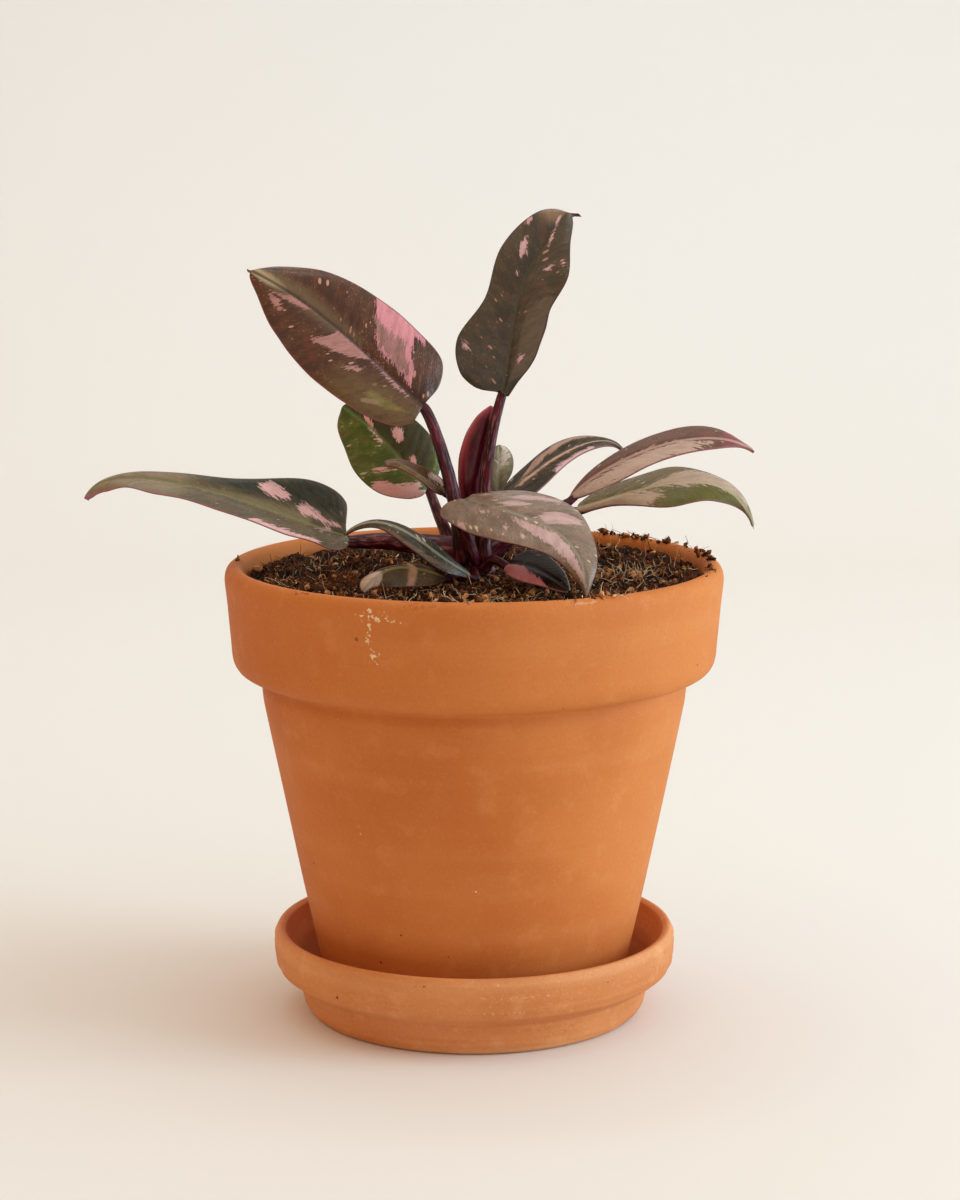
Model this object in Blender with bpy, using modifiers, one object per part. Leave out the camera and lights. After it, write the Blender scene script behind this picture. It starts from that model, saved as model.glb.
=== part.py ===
"""Pink princess philodendron in a clay pot on its saucer.

The origin is on the floor under the middle of the saucer, +Z is up, and -Y is the side that the
plant shows best. Sizes in the tables are in millimetres, and MM turns them into metres.
"""
import bpy
import bmesh
import numpy as np
from mathutils import Vector

MM = 0.001
GAP = 0.3

# Clay pot: a banded rim over a straight tapering body.
POT_FOOT_Z = 7.3
POT_TOP_Z = 147.5
RIM_RADIUS = 80.0
RIM_FOOT_RADIUS = 77.8
RIM_FOOT_Z = 116.0
RIM_WALL = 6.4
LIP_ROUND = 3.2
BAND_FOOT_ROUND = 3.5
BAND_STEP = 1.5
BODY_TOP_RADIUS = 69.0
BODY_TOP_Z = 109.0
FOOT_RADIUS = 48.3
BODY_WALL = 5.6
FLOOR_THICKNESS = 8.0
FLOOR_CORNER = 3.0
FOOT_EDGE = 1.2
DRAIN_RADIUS = 9.0

# Saucer: a shallow dish with a rolled lip round its top.
SAUCER_TOP_Z = 28.0
SAUCER_RADIUS = 65.4
LIP_FOOT_Z = 13.0
SAUCER_WALL = 4.6
SAUCER_FLOOR_Z = POT_FOOT_Z - GAP

# Soil: fills the pot to just under the lip, a little higher at the back and round the crown.
SOIL_Z = 141.6
SOIL_SLOPE = (0.006, 0.018)
SOIL_LUMP = 0.42
SOIL_MOUND = 0.7
SOIL_MOUND_RADIUS = 14.0
SOIL_RINGS = 11

# Crown: the short stem that every leaf stalk grows from.
CROWN = (1.0, -1.0)
CROWN_FOOT_Z = 112.0
CROWN_TOP_Z = 153.0
CROWN_RADIUS = 6.0
CROWN_TOP_RADIUS = 4.6
CROWN_TAPER = 4.0
HOLE_HEADROOM = 20.0

ROUND_STEPS = 48
BLADE_THICKNESS = 0.7
BLADE_CELLS = (16, 6)
BLADE_TIP = 0.45
STALK_POINTS = 9
STALK_STRAIGHT = 6.0

# One row a leaf. "midrib" holds a cubic curve: the joint with the stalk, two handles and the tip.
# "face" is the way its upper side looks. "left" and "right" are half-widths at 0, 7, 25, 50, 75 and
# 93 per cent of the length, seen from the joint with the upper side up. "fold" is how far each half
# rises from the midrib, in degrees, and "lobe" how far each half's base reaches back past the joint.
# "stalk" holds the stalk's root and its handle, and its radius at the root and at the joint.
LEAVES = {
    "leaf_upper_left": {
        "midrib": ((-17, -4, 199), (-34, -6, 214), (-47, -4, 229), (-71, 6, 240)),
        "face": (0.15, -0.9, 0.4), "fold": (6, 6), "lobe": (2.0, 2.0),
        "left": (6, 12.5, 17, 18, 14, 5.5), "right": (8.5, 16, 17.6, 17, 13.5, 6.5),
        "stalk": ((-3, -5, 148), (-3, -6, 180), 2.6, 1.7),
    },
    "leaf_top": {
        "midrib": ((9, -2, 203), (13, -6, 223), (10.5, -4, 236), (29.5, 0, 258.6)),
        "face": (-0.1, -0.95, 0.25), "fold": (6, 32), "lobe": (2.0, 2.0),
        "left": (8, 14.5, 16.8, 10.5, 11.5, 8), "right": (1.5, 4, 10.5, 12, 14.5, 6),
        "stalk": ((3, -5, 148), (2, -5, 184), 2.4, 1.5),
    },
    "leaf_long_left": {
        "midrib": ((-42, 2, 155.5), (-50, 1, 157), (-113, -3, 187), (-124, -4, 169)),
        "face": (0.1, -0.6, 0.8), "fold": (28, 20), "lobe": (2.0, 0.5),
        "left": (3, 10, 13, 11, 7.5, 2), "right": (5, 12.5, 15.5, 6.4, 3, 1.2),
        "stalk": ((-2, 0, 149), (-22, 2, 156), 4.4, 2.0),
    },
    "leaf_round_back": {
        "midrib": ((-16, 14, 170), (-24, 14, 179), (-32, 18, 189), (-43, 22, 195)),
        "face": (0.1, -0.95, 0.25), "fold": (4, 4), "lobe": (2.0, 1.5),
        "left": (2, 7.5, 13, 14, 10.5, 6.5), "right": (2.5, 8, 12, 12, 9.5, 5),
        "stalk": ((-4, 2, 147), (-12, 5, 160), 2.4, 1.4),
    },
    "leaf_small_curled": {
        "midrib": ((-9, 1, 170), (-14, 0, 174), (-22, -4, 181), (-28, -7, 180)),
        "face": (0.1, -0.6, 0.8), "fold": (20, 50), "lobe": (0.0, 0.0),
        "left": (1, 3, 5.5, 4.5, 3, 1), "right": (1, 2, 2.5, 2, 1.5, 1),
        "stalk": ((-4, 0, 150), (-7, 0, 161), 1.7, 1.0),
    },
    "leaf_front_narrow": {
        "midrib": ((-1, -16, 145.8), (-12, -23, 151), (-26, -20, 171), (-41, -9, 158)),
        "face": (0.1, -0.6, 0.8), "fold": (5, 5), "lobe": (0.0, 0.0),
        "left": (1, 2.2, 5, 4.3, 2, 1), "right": (1, 2.4, 3, 2.7, 2.2, 1.2),
        "stalk": ((0, -5, 145.6), (0, -10, 145.4), 1.9, 1.0),
    },
    "leaf_low_left": {
        "midrib": ((-9, -20, 145.9), (-16, -28, 149), (-26, -39, 156.5), (-34, -44, 145)),
        "face": (0.1, -0.75, 0.65), "fold": (-8, -8), "lobe": (0.5, 0.5),
        "left": (1, 2, 5, 6.5, 5.5, 1.5), "right": (1, 3, 3.4, 1.6, 2, 3.2),
        "stalk": ((-1, -5, 145.5), (-5, -13, 145.6), 1.7, 1.0),
    },
    "leaf_front_arched": {
        "midrib": ((-2, -14, 169.5), (8, -28, 167.5), (36, -45, 168.5), (34, -52, 145)),
        "face": (0.0, -0.3, 0.95), "fold": (4, -8), "lobe": (2.5, 5.0),
        "left": (5, 11.5, 16, 15, 8, 2.5), "right": (7, 11, 14, 13, 7, 3),
        "stalk": ((0, -5, 148), (-2, -11, 156), 2.2, 1.4),
    },
    "leaf_low_right": {
        "midrib": ((11, -14, 149), (17, -23, 151), (23, -35, 149), (29, -41, 145)),
        "face": (0.1, -0.8, 0.6), "fold": (0, 0), "lobe": (1.0, 1.0),
        "left": (2.5, 6.5, 8, 6.5, 4.5, 2), "right": (2.5, 3.5, 6, 6.5, 4, 2),
        "stalk": ((3, -5, 146), (6, -7, 152), 2.0, 1.2),
    },
    "leaf_striped": {
        "midrib": ((10, 10, 167.5), (20, 18, 177), (42, 27, 190), (49, 29, 180)),
        "face": (0, -0.8, 0.6), "fold": (5, 5), "lobe": (1.0, 1.0),
        "left": (1, 2.5, 3.2, 4.1, 1.5, 0.8), "right": (3, 6, 6.4, 4, 2.4, 1),
        "stalk": ((4, 1, 147), (9, 6, 160), 1.9, 1.2),
    },
    "leaf_right_upper": {
        "midrib": ((32, 9, 168), (44, 16, 179), (74, 20, 191), (91, 21, 181)),
        "face": (-0.2, -0.6, 0.8), "fold": (4, 4), "lobe": (1.0, 1.0),
        "left": (0.8, 2, 4.3, 6.1, 6.2, 1.8), "right": (1, 4, 7.4, 6.4, 4.6, 1),
        "stalk": ((4, 0, 149), (16, 5, 162), 2.2, 1.3),
    },
    "leaf_right_lower": {
        "midrib": ((33, -3, 165.5), (41, -10, 167), (81, -14, 188), (88, -15, 161)),
        "face": (-0.2, -0.5, 0.9), "fold": (-5, -5), "lobe": (1.0, 1.0),
        "left": (2, 7, 8.7, 10.6, 5.4, 1.5), "right": (1, 2.2, 3, 10, 5.8, 1),
        "stalk": ((4, -3, 149), (15, -3, 159), 2.2, 1.3),
    },
    "leaf_small_back": {
        "midrib": ((8, 18, 167), (7, 19, 172), (9, 23, 177), (8, 26, 182)),
        "face": (0, -0.9, 0.3), "fold": (5, 5), "lobe": (0.0, 0.0),
        "left": (1, 2, 3.5, 4.2, 3.6, 2.2), "right": (1, 1.6, 3, 4.5, 4.4, 2.6),
        "stalk": ((2, 3, 146), (6, 12, 156), 1.6, 1.0),
    },
}

# The sheath that wraps the next leaf: a cubic curve and the radii along it.
SHEATH_LINE = ((0, 2, 156), (-4, 2, 173), (0, 3, 190), (6, 3, 197))
SHEATH_RADII = (1.6, 2.6, 4.0, 4.7, 4.3, 3.0, 0.8)


def srgb(code):
    """Linear colour of a hex code."""
    parts = np.array([int(code[i:i + 2], 16) / 255 for i in (1, 3, 5)])
    low = parts / 12.92
    high = ((parts + 0.055) / 1.055) ** 2.4
    return (*np.where(parts <= 0.04045, low, high), 1.0)


def material(name, code, roughness):
    """A plain Principled material."""
    made = bpy.data.materials.new(name)
    made.use_nodes = True
    shader = made.node_tree.nodes["Principled BSDF"]
    shader.inputs["Base Color"].default_value = srgb(code)
    shader.inputs["Roughness"].default_value = roughness
    shader.inputs["Metallic"].default_value = 0.0
    return made


def clear_scene():
    """Start from an empty file."""
    for old in list(bpy.data.objects):
        bpy.data.objects.remove(old)


def new_collection(name):
    """A collection linked to the scene."""
    made = bpy.data.collections.new(name)
    bpy.context.scene.collection.children.link(made)
    return made


def add_object(name, data, look, collection):
    """An object in its collection, with its material."""
    made = bpy.data.objects.new(name, data)
    made.data.materials.append(look)
    collection.objects.link(made)
    return made


def arc(centre, radius, start, end, steps):
    """Points of an arc in the X-Z plane, angles in degrees."""
    angles = np.radians(np.linspace(start, end, steps + 1))
    return [(centre[0] + radius * np.cos(a), centre[1] + radius * np.sin(a)) for a in angles]


def turned(name, profile, look, collection, closed=True):
    """A solid of revolution about Z from a profile in millimetres, outer side top to bottom first."""
    mesh = bpy.data.meshes.new(name)
    points = [(x * MM, 0.0, z * MM) for x, z in profile]
    edges = [(i, i + 1) for i in range(len(points) - 1)]
    if closed:
        edges.append((len(points) - 1, 0))
    mesh.from_pydata(points, edges, [])
    made = add_object(name, mesh, look, collection)
    screw = made.modifiers.new("Turn", "SCREW")
    screw.steps = ROUND_STEPS
    screw.render_steps = ROUND_STEPS
    screw.use_merge_vertices = True
    screw.merge_threshold = 0.00005
    screw.use_smooth_shade = True
    return made


def body_radius(z):
    """Outer radius of the pot's tapering body."""
    slope = (BODY_TOP_RADIUS - FOOT_RADIUS) / (BODY_TOP_Z - POT_FOOT_Z)
    return FOOT_RADIUS + slope * (z - POT_FOOT_Z)


def inner_wall():
    """The pot's inside from its lip down to its floor."""
    floor_z = POT_FOOT_Z + FLOOR_THICKNESS
    return [
        (RIM_RADIUS - RIM_WALL, POT_TOP_Z - LIP_ROUND),
        (RIM_RADIUS - RIM_WALL - 1.2, POT_TOP_Z - 10.0),
        (BODY_TOP_RADIUS - BODY_WALL + 1.0, BODY_TOP_Z + 4.0),
        (body_radius(floor_z + FLOOR_CORNER) - BODY_WALL, floor_z + FLOOR_CORNER),
        (body_radius(floor_z) - BODY_WALL - FLOOR_CORNER, floor_z),
    ]


def pot_profile():
    """The pot's section: lip, rim band, body, foot, drain hole and inside."""
    lip = arc((RIM_RADIUS - LIP_ROUND, POT_TOP_Z - LIP_ROUND), LIP_ROUND, 150, 0, 6)
    band_foot = arc((RIM_FOOT_RADIUS - BAND_FOOT_ROUND, RIM_FOOT_Z), BAND_FOOT_ROUND, -5, -70, 4)
    outside = [
        (RIM_RADIUS, POT_TOP_Z - 5.0),
        *band_foot,
        (BODY_TOP_RADIUS + BAND_STEP, BODY_TOP_Z + BAND_STEP),
        (BODY_TOP_RADIUS, BODY_TOP_Z),
        (body_radius(POT_FOOT_Z + FOOT_EDGE), POT_FOOT_Z + FOOT_EDGE),
        (FOOT_RADIUS - FOOT_EDGE, POT_FOOT_Z),
    ]
    hole = [
        (DRAIN_RADIUS, POT_FOOT_Z),
        (DRAIN_RADIUS, POT_FOOT_Z + FLOOR_THICKNESS),
    ]
    return [*lip, *outside, *hole, *reversed(inner_wall())]


def saucer_profile():
    """The saucer's section: out over the dish, up to the lip, down the outside and back below."""
    lip_radius = SAUCER_WALL / 2
    lip = arc((SAUCER_RADIUS - lip_radius, SAUCER_TOP_Z - lip_radius), lip_radius, 180, 0, 6)
    outside = [
        (SAUCER_RADIUS, 17.5),
        (SAUCER_RADIUS - 1.6, LIP_FOOT_Z + 1.0),
        (58.6, LIP_FOOT_Z - 1.6),
        (57.0, LIP_FOOT_Z - 4.0),
        (55.0, 2.0),
        (53.0, 0.0),
        (0.0, 0.0),
    ]
    dish = [
        (0.0, SAUCER_FLOOR_Z),
        (49.5, SAUCER_FLOOR_Z),
        (52.2, SAUCER_FLOOR_Z + 1.2),
        (54.0, SAUCER_FLOOR_Z + 4.0),
        (60.0, SAUCER_TOP_Z - 6.0),
    ]
    return [*dish, *lip, *outside]


def soil_height(x, y):
    """Height of the soil: higher at the back and by the crown, with shallow lumps."""
    reach = np.hypot(x - CROWN[0], y - CROWN[1]) / SOIL_MOUND_RADIUS
    mound = SOIL_MOUND * np.exp(-reach ** 2)
    lumps = np.sin(x / 4.1 + 1.3) * np.cos(y / 3.7) + 0.6 * np.sin(x / 7.3 - y / 5.9 + 0.5)
    return SOIL_Z + SOIL_SLOPE[0] * x + SOIL_SLOPE[1] * y + mound + SOIL_LUMP * lumps


def soil_profile():
    """The soil's section: flat rings on top, then down the inside of the pot."""
    wall = [(r - 2 * GAP, z) for r, z in inner_wall()]
    edge = np.interp(SOIL_Z, (wall[1][1], wall[0][1]), (wall[1][0], wall[0][0]))
    rings = [(edge * k / SOIL_RINGS, SOIL_Z) for k in range(SOIL_RINGS + 1)]
    floor_z = POT_FOOT_Z + FLOOR_THICKNESS + GAP
    foot = [(wall[3][0], wall[3][1] + GAP), (wall[4][0], floor_z), (0.0, floor_z)]
    return [*rings, wall[1], wall[2], *foot]


def solid_mesh(source, name, look, collection):
    """The evaluated mesh of an object as a plain object, with the loose ends of its caps welded."""
    graph = bpy.context.evaluated_depsgraph_get()
    mesh = bpy.data.meshes.new_from_object(source.evaluated_get(graph))
    mesh.transform(source.matrix_world)
    weld = bmesh.new()
    weld.from_mesh(mesh)
    bmesh.ops.remove_doubles(weld, verts=weld.verts, dist=0.00001)
    bmesh.ops.recalc_face_normals(weld, faces=weld.faces)
    weld.to_mesh(mesh)
    weld.free()
    mesh.materials.clear()
    bpy.data.objects.remove(source)
    return add_object(name, mesh, look, collection)


def cut(target, cutter):
    """Take one object out of another."""
    boolean = target.modifiers.new("Cut", "BOOLEAN")
    boolean.operation = "DIFFERENCE"
    boolean.object = cutter


def make_pot(look, parts):
    """The clay pot, with its drain hole."""
    return turned("pot", pot_profile(), look, parts)


def make_saucer(look, parts):
    """The clay saucer."""
    return turned("saucer", saucer_profile(), look, parts, closed=False)


def make_soil(look, parts, cutters):
    """The soil, with a plain hole for the crown."""
    plug = turned("soil_plug", soil_profile(), look, parts, closed=False)
    soil = solid_mesh(plug, "soil", look, parts)
    place = np.empty(len(soil.data.vertices) * 3)
    soil.data.vertices.foreach_get("co", place)
    place = place.reshape(-1, 3) / MM
    top = place[:, 2] > SOIL_Z - 2 * GAP
    place[top, 2] = soil_height(place[top, 0], place[top, 1])
    soil.data.vertices.foreach_set("co", (place * MM).ravel())
    hole_foot, hole_top = CROWN_FOOT_Z - GAP, SOIL_Z + HOLE_HEADROOM
    bpy.ops.mesh.primitive_cylinder_add(
        vertices=32,
        radius=(CROWN_RADIUS + 2 * GAP) * MM,
        depth=(hole_top - hole_foot) * MM,
        location=(CROWN[0] * MM, CROWN[1] * MM, (hole_top + hole_foot) / 2 * MM),
    )
    hole = bpy.context.object
    hole.name = "crown_hole"
    hole.hide_render = True
    hole.display_type = "WIRE"
    for owner in list(hole.users_collection):
        owner.objects.unlink(hole)
    cutters.objects.link(hole)
    cut(soil, hole)
    return soil


def bezier(points, s):
    """Points of a cubic curve at the shares s of its length."""
    p = np.array(points, float)
    s = np.asarray(s, float)[:, None]
    t = 1 - s
    return t ** 3 * p[0] + 3 * t ** 2 * s * p[1] + 3 * t * s ** 2 * p[2] + s ** 3 * p[3]


def unit(vectors):
    """Vectors scaled to length one."""
    return vectors / np.linalg.norm(vectors, axis=-1, keepdims=True)


def midrib_frame(leaf, s):
    """Midrib points, with the directions along it, out of the upper side and across it."""
    step = 1e-4
    spine = bezier(leaf["midrib"], s)
    ahead = bezier(leaf["midrib"], np.clip(s + step, 0, 1))
    behind = bezier(leaf["midrib"], np.clip(s - step, 0, 1))
    along = unit(ahead - behind)
    face = np.array(leaf["face"], float)
    out = unit(face - along * (along @ face)[:, None])
    return spine, along, out, np.cross(along, out)


def half_width(widths, x):
    """Smooth curve through the half-widths, with x from 0 at the joint to 1 at the tip."""
    knots = np.array([widths[0], *widths, BLADE_TIP, -0.3 * widths[-1]])
    place = np.clip(x * len(widths), 0, len(widths) - 1e-6)
    i = place.astype(int)
    f = place - i
    a, b, c, d = knots[i], knots[i + 1], knots[i + 2], knots[i + 3]
    bend = (2 * a - 5 * b + 4 * c - d) * f ** 2 + (3 * b - a - 3 * c + d) * f ** 3
    return 0.5 * (2 * b + (c - a) * f + bend)


def blade_points(leaf, x, v):
    """Points of a leaf's middle surface: x runs from joint to tip, v from margin to margin."""
    s = 0.5 - 0.5 * np.cos(np.pi * x)
    spine, along, out, across = midrib_frame(leaf, s)
    reach = np.abs(v)
    is_left = v < 0
    width = np.where(is_left, half_width(leaf["left"], x), half_width(leaf["right"], x))
    fold = np.radians(np.where(is_left, *leaf["fold"]))
    side = (v * width * np.cos(fold))[:, None]
    rise = (reach * width * np.sin(fold))[:, None]
    lobe = np.where(is_left, *leaf["lobe"])
    back = (lobe * (1 - s) ** 5 * (1 - (1 - reach) ** 2))[:, None]
    return spine + across * side + out * rise - along * back


def make_leaf(name, leaf, look, parts):
    """A leaf blade: a flat grid bent by the formula, split into triangles and thickened."""
    bpy.ops.mesh.primitive_grid_add(x_subdivisions=BLADE_CELLS[0], y_subdivisions=BLADE_CELLS[1], size=2)
    blade = bpy.context.object
    blade.name = name
    mesh = blade.data
    mesh.materials.append(look)
    flat = np.empty(len(mesh.vertices) * 3)
    mesh.vertices.foreach_get("co", flat)
    flat = flat.reshape(-1, 3)
    bent = blade_points(leaf, (flat[:, 0] + 1) / 2, flat[:, 1]) * MM
    mesh.vertices.foreach_set("co", bent.ravel())
    blade.modifiers.new("Triangles", "TRIANGULATE")
    solid = blade.modifiers.new("Thickness", "SOLIDIFY")
    solid.thickness = BLADE_THICKNESS * MM
    solid.offset = 0.0
    for owner in list(blade.users_collection):
        owner.objects.unlink(blade)
    parts.objects.link(blade)
    return blade


def tube(name, points, radii, look, collection, sides=2):
    """A round tube along points, with its own radius at each, as a closed mesh."""
    curve = bpy.data.curves.new(name, "CURVE")
    curve.dimensions = "3D"
    curve.bevel_depth = MM
    curve.bevel_resolution = sides
    curve.use_fill_caps = True
    spline = curve.splines.new("POLY")
    spline.points.add(len(points) - 1)
    for point, place, radius in zip(spline.points, points, radii):
        point.co = (*Vector(place) * MM, 1.0)
        point.radius = radius
    made = bpy.data.objects.new(name, curve)
    collection.objects.link(made)
    bpy.context.view_layer.update()
    return solid_mesh(made, name, look, collection)


def stalk_line(leaf, count):
    """A stalk's centre line from its root to just short of its blade, and its radii."""
    root, handle, root_radius, joint_radius = leaf["stalk"]
    spine, along, out, _ = midrib_frame(leaf, np.array([0.0]))
    end = spine[0] - along[0] * (joint_radius + 2 * GAP) - out[0] * joint_radius
    before = end - along[0] * STALK_STRAIGHT
    s = np.linspace(0, 1, count)
    radii = root_radius + (joint_radius - root_radius) * s ** 0.7
    return bezier((root, handle, before, end), s), radii


def make_stem(look, parts):
    """The crown and all the leaf stalks, joined as one body as they grew."""
    bunch = new_collection("stem_pieces")
    s = np.linspace(0, 1, 7)
    heights = CROWN_FOOT_Z + (CROWN_TOP_Z - CROWN_FOOT_Z) * s
    centre = [(CROWN[0], CROWN[1], z) for z in heights]
    radii = np.where(heights < SOIL_Z + CROWN_TAPER, CROWN_RADIUS, CROWN_TOP_RADIUS)
    stem = tube("stem", centre, radii, look, parts, sides=4)
    for name, leaf in LEAVES.items():
        line, sizes = stalk_line(leaf, STALK_POINTS)
        tube(name + "_stalk", line, sizes, look, bunch)
    join = stem.modifiers.new("Join", "BOOLEAN")
    join.operation = "UNION"
    join.operand_type = "COLLECTION"
    join.collection = bunch
    bpy.context.view_layer.update()
    graph = bpy.context.evaluated_depsgraph_get()
    joined = bpy.data.meshes.new_from_object(stem.evaluated_get(graph))
    stem.modifiers.clear()
    stem.data = joined
    for piece in list(bunch.objects):
        bpy.data.objects.remove(piece)
    bpy.data.collections.remove(bunch)
    return stem


def make_sheath(look, parts):
    """The pointed red sheath of the next leaf."""
    radii = np.array(SHEATH_RADII)
    s = np.linspace(0, 1, 13)
    sizes = np.interp(s, np.linspace(0, 1, len(radii)), radii)
    return tube("new_leaf_sheath", bezier(SHEATH_LINE, s), sizes, look, parts, sides=3)


def main():
    """Build every piece."""
    clear_scene()
    parts = new_collection("pink_princess_philodendron")
    cutters = new_collection("cutters")
    clay = material("terracotta", "#C4763F", 0.85)
    dish_clay = material("terracotta_saucer", "#CC8050", 0.9)
    peat = material("potting_soil", "#3A2618", 0.95)
    green = material("leaf_green", "#4A4A38", 0.4)
    red = material("stalk_red", "#5A1F2C", 0.4)
    wine = material("sheath_red", "#7A2033", 0.4)
    make_saucer(dish_clay, parts)
    make_pot(clay, parts)
    make_soil(peat, parts, cutters)
    make_stem(red, parts)
    make_sheath(wine, parts)
    for name, leaf in LEAVES.items():
        make_leaf(name, leaf, green, parts)


main()
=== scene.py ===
# %% [markdown]
# # A pink princess philodendron in a clay pot
#
# This lesson dresses a measured model of a young pot plant so that it looks alive. The plant is a
# pink princess philodendron: dark leaves splashed with pink, on wine-red stalks. It grows in peat in
# a plain terracotta pot that stands in its saucer.
#
# The frame brings the measured solids. Their shapes are right but plain, so nearly every piece is
# made again here with more detail, in the same place. All sizes are written in millimetres.

# %% Load the measured model
import math
import bpy
import numpy as np
from mathutils import Matrix


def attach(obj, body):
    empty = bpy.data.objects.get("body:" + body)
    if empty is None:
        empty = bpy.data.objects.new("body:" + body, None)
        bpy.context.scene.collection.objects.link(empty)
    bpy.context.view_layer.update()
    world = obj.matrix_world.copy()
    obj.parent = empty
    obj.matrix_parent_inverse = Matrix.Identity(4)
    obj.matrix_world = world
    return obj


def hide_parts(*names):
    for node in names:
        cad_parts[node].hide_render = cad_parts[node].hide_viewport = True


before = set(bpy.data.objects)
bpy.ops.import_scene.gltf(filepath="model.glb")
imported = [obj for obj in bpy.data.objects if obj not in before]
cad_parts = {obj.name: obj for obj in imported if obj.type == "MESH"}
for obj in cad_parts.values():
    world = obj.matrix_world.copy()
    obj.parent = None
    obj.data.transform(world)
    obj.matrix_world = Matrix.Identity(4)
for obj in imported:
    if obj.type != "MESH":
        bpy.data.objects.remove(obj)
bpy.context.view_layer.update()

MM = 0.001
print("measured nodes:", ", ".join(sorted(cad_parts)))

# %% [markdown]
# ## Helpers for meshes
#
# Every shape below is a surface of two parameters: rows along it and columns across or round it.
# Numpy works out all its points at once, and one helper turns the grid of points into faces. A
# surface that closes on itself, such as a pot or a stalk, joins its last column to its first, and its
# open ends are closed with a fan of triangles round a middle point.

# %% Turn a grid of points into faces
def unit(vectors):
    """Vectors scaled to length one."""
    return vectors / np.linalg.norm(vectors, axis=-1, keepdims=True)


def grid_faces(rows, columns, around):
    """Quads of a grid: corner (i, j) is number i * columns + j, joined to the next row and column."""
    i, j = np.meshgrid(np.arange(rows - 1), np.arange(columns if around else columns - 1), indexing="ij")
    right, here, below = (j + 1) % columns, i * columns, (i + 1) * columns
    return np.stack([here + j, here + right, below + right, below + j], -1).reshape(-1, 4)


def tube_mesh(points):
    """Points and faces of a closed tube: the grid goes round, and a fan closes each end at its middle."""
    rows, columns = points.shape[:2]
    flat = points.reshape(-1, 3)
    ends = np.array([points[0].mean(0), points[-1].mean(0)])
    j = np.arange(columns)
    after = (j + 1) % columns
    count, last_row = rows * columns, (rows - 1) * columns
    first = np.stack([np.full(columns, count), after, j], -1)
    last = np.stack([np.full(columns, count + 1), last_row + j, last_row + after], -1)
    return np.vstack([flat, ends]), [grid_faces(rows, columns, True), first, last]


def new_mesh(name, points, face_groups, attributes=None):
    """A smooth mesh from points in mm and arrays of faces, with a value or a vector for each point."""
    mesh = bpy.data.meshes.new(name)
    sizes = np.concatenate([np.full(len(group), group.shape[1]) for group in face_groups])
    corners = np.concatenate([group.ravel() for group in face_groups])
    mesh.vertices.add(len(points))
    mesh.vertices.foreach_set("co", (points * MM).astype(np.float32).ravel())
    mesh.loops.add(len(corners))
    mesh.loops.foreach_set("vertex_index", corners.astype(np.int32))
    mesh.polygons.add(len(sizes))
    mesh.polygons.foreach_set("loop_start", np.concatenate([[0], np.cumsum(sizes)[:-1]]).astype(np.int32))
    mesh.polygons.foreach_set("use_smooth", np.ones(len(sizes), bool))
    for key, values in (attributes or {}).items():
        kind = "FLOAT_VECTOR" if values.ndim == 2 else "FLOAT"
        field = mesh.attributes.new(key, kind, "POINT")
        field.data.foreach_set("vector" if values.ndim == 2 else "value", values.astype(np.float32).ravel())
    mesh.update(calc_edges=True)
    mesh.validate()
    return mesh


def add_piece(name, mesh, material, nodes):
    """A piece that stands in for measured nodes, which it hides, rides with the plant and takes the material
    it is given.
    """
    piece = bpy.data.objects.new(name, mesh)
    bpy.context.scene.collection.objects.link(piece)
    mesh.materials.append(material)
    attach(piece, "root")
    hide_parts(*nodes)
    print(name, len(mesh.polygons), "faces")
    return piece


# %% [markdown]
# Natural things are never quite even. One kind of noise serves everywhere: random numbers on a
# lattice of points in space, blended smoothly in between, so that nearby points get nearby values.

# %% Smooth noise in space
LATTICE = 32
# Added to every place, so that no cell's number is negative.
LATTICE_START = 100.0


def noise(points, size, seed):
    """Values from -1 to 1: random numbers on a lattice with cells of that size in mm, smoothly blended."""
    table = np.random.default_rng(seed).random((LATTICE, LATTICE, LATTICE)) * 2 - 1
    place = points / size + LATTICE_START
    cell = np.floor(place).astype(int)
    step = place - cell
    step = step * step * (3 - 2 * step)
    total = 0.0
    for corner in np.ndindex(2, 2, 2):
        weight = np.prod(np.where(corner, step, 1 - step), -1)
        index = (cell + corner) % LATTICE
        total = total + weight * table[index[..., 0], index[..., 1], index[..., 2]]
    return total


def smooth_step(low, high, value):
    """0 below low, 1 above high, and a smooth slope between."""
    t = np.clip((value - low) / (high - low), 0, 1)
    return t * t * (3 - 2 * t)


# %% [markdown]
# ## Helpers for materials
#
# Colours are written as the hex codes that a paint program shows, and one function turns them into
# the linear light that Blender calculates with. Another adds a node with its settings and links, so
# that each material reads from top to bottom like a recipe.

# %% Colours and nodes
def srgb(code):
    """Linear colour of a hex code, by the sRGB curve."""
    parts = np.array([int(code[i:i + 2], 16) / 255 for i in (1, 3, 5)])
    return (*np.where(parts <= 0.04045, parts / 12.92, ((parts + 0.055) / 1.055) ** 2.4), 1.0)


def add_node(tree, kind, inputs=None, output=0, **settings):
    """A shader node with its settings and its inputs, set or linked; gives the output asked for."""
    node = tree.nodes.new("ShaderNode" + kind)
    for key, value in settings.items():
        setattr(node, key, value)
    for key, value in (inputs or {}).items():
        if isinstance(value, bpy.types.NodeSocket):
            tree.links.new(value, node.inputs[key])
        else:
            node.inputs[key].default_value = value
    return node.outputs[output]


def new_material(name):
    """An empty material, its node tree and the inputs of its Principled shader."""
    made = bpy.data.materials.new(name)
    made.use_nodes = True
    return made, made.node_tree, made.node_tree.nodes["Principled BSDF"].inputs


SOFT = {"interpolation_type": "SMOOTHSTEP"}
PER_METRE = 1000


# %% [markdown]
# ## Camera
#
# The camera stands where the photographer stood: low, a little under a metre away, looking slightly
# down. The lens is long, so that the pot's sides stay nearly straight. These values come from fitting
# the rims of the pot and the saucer, which are circles of known size, to their ellipses in the photo.

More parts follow.
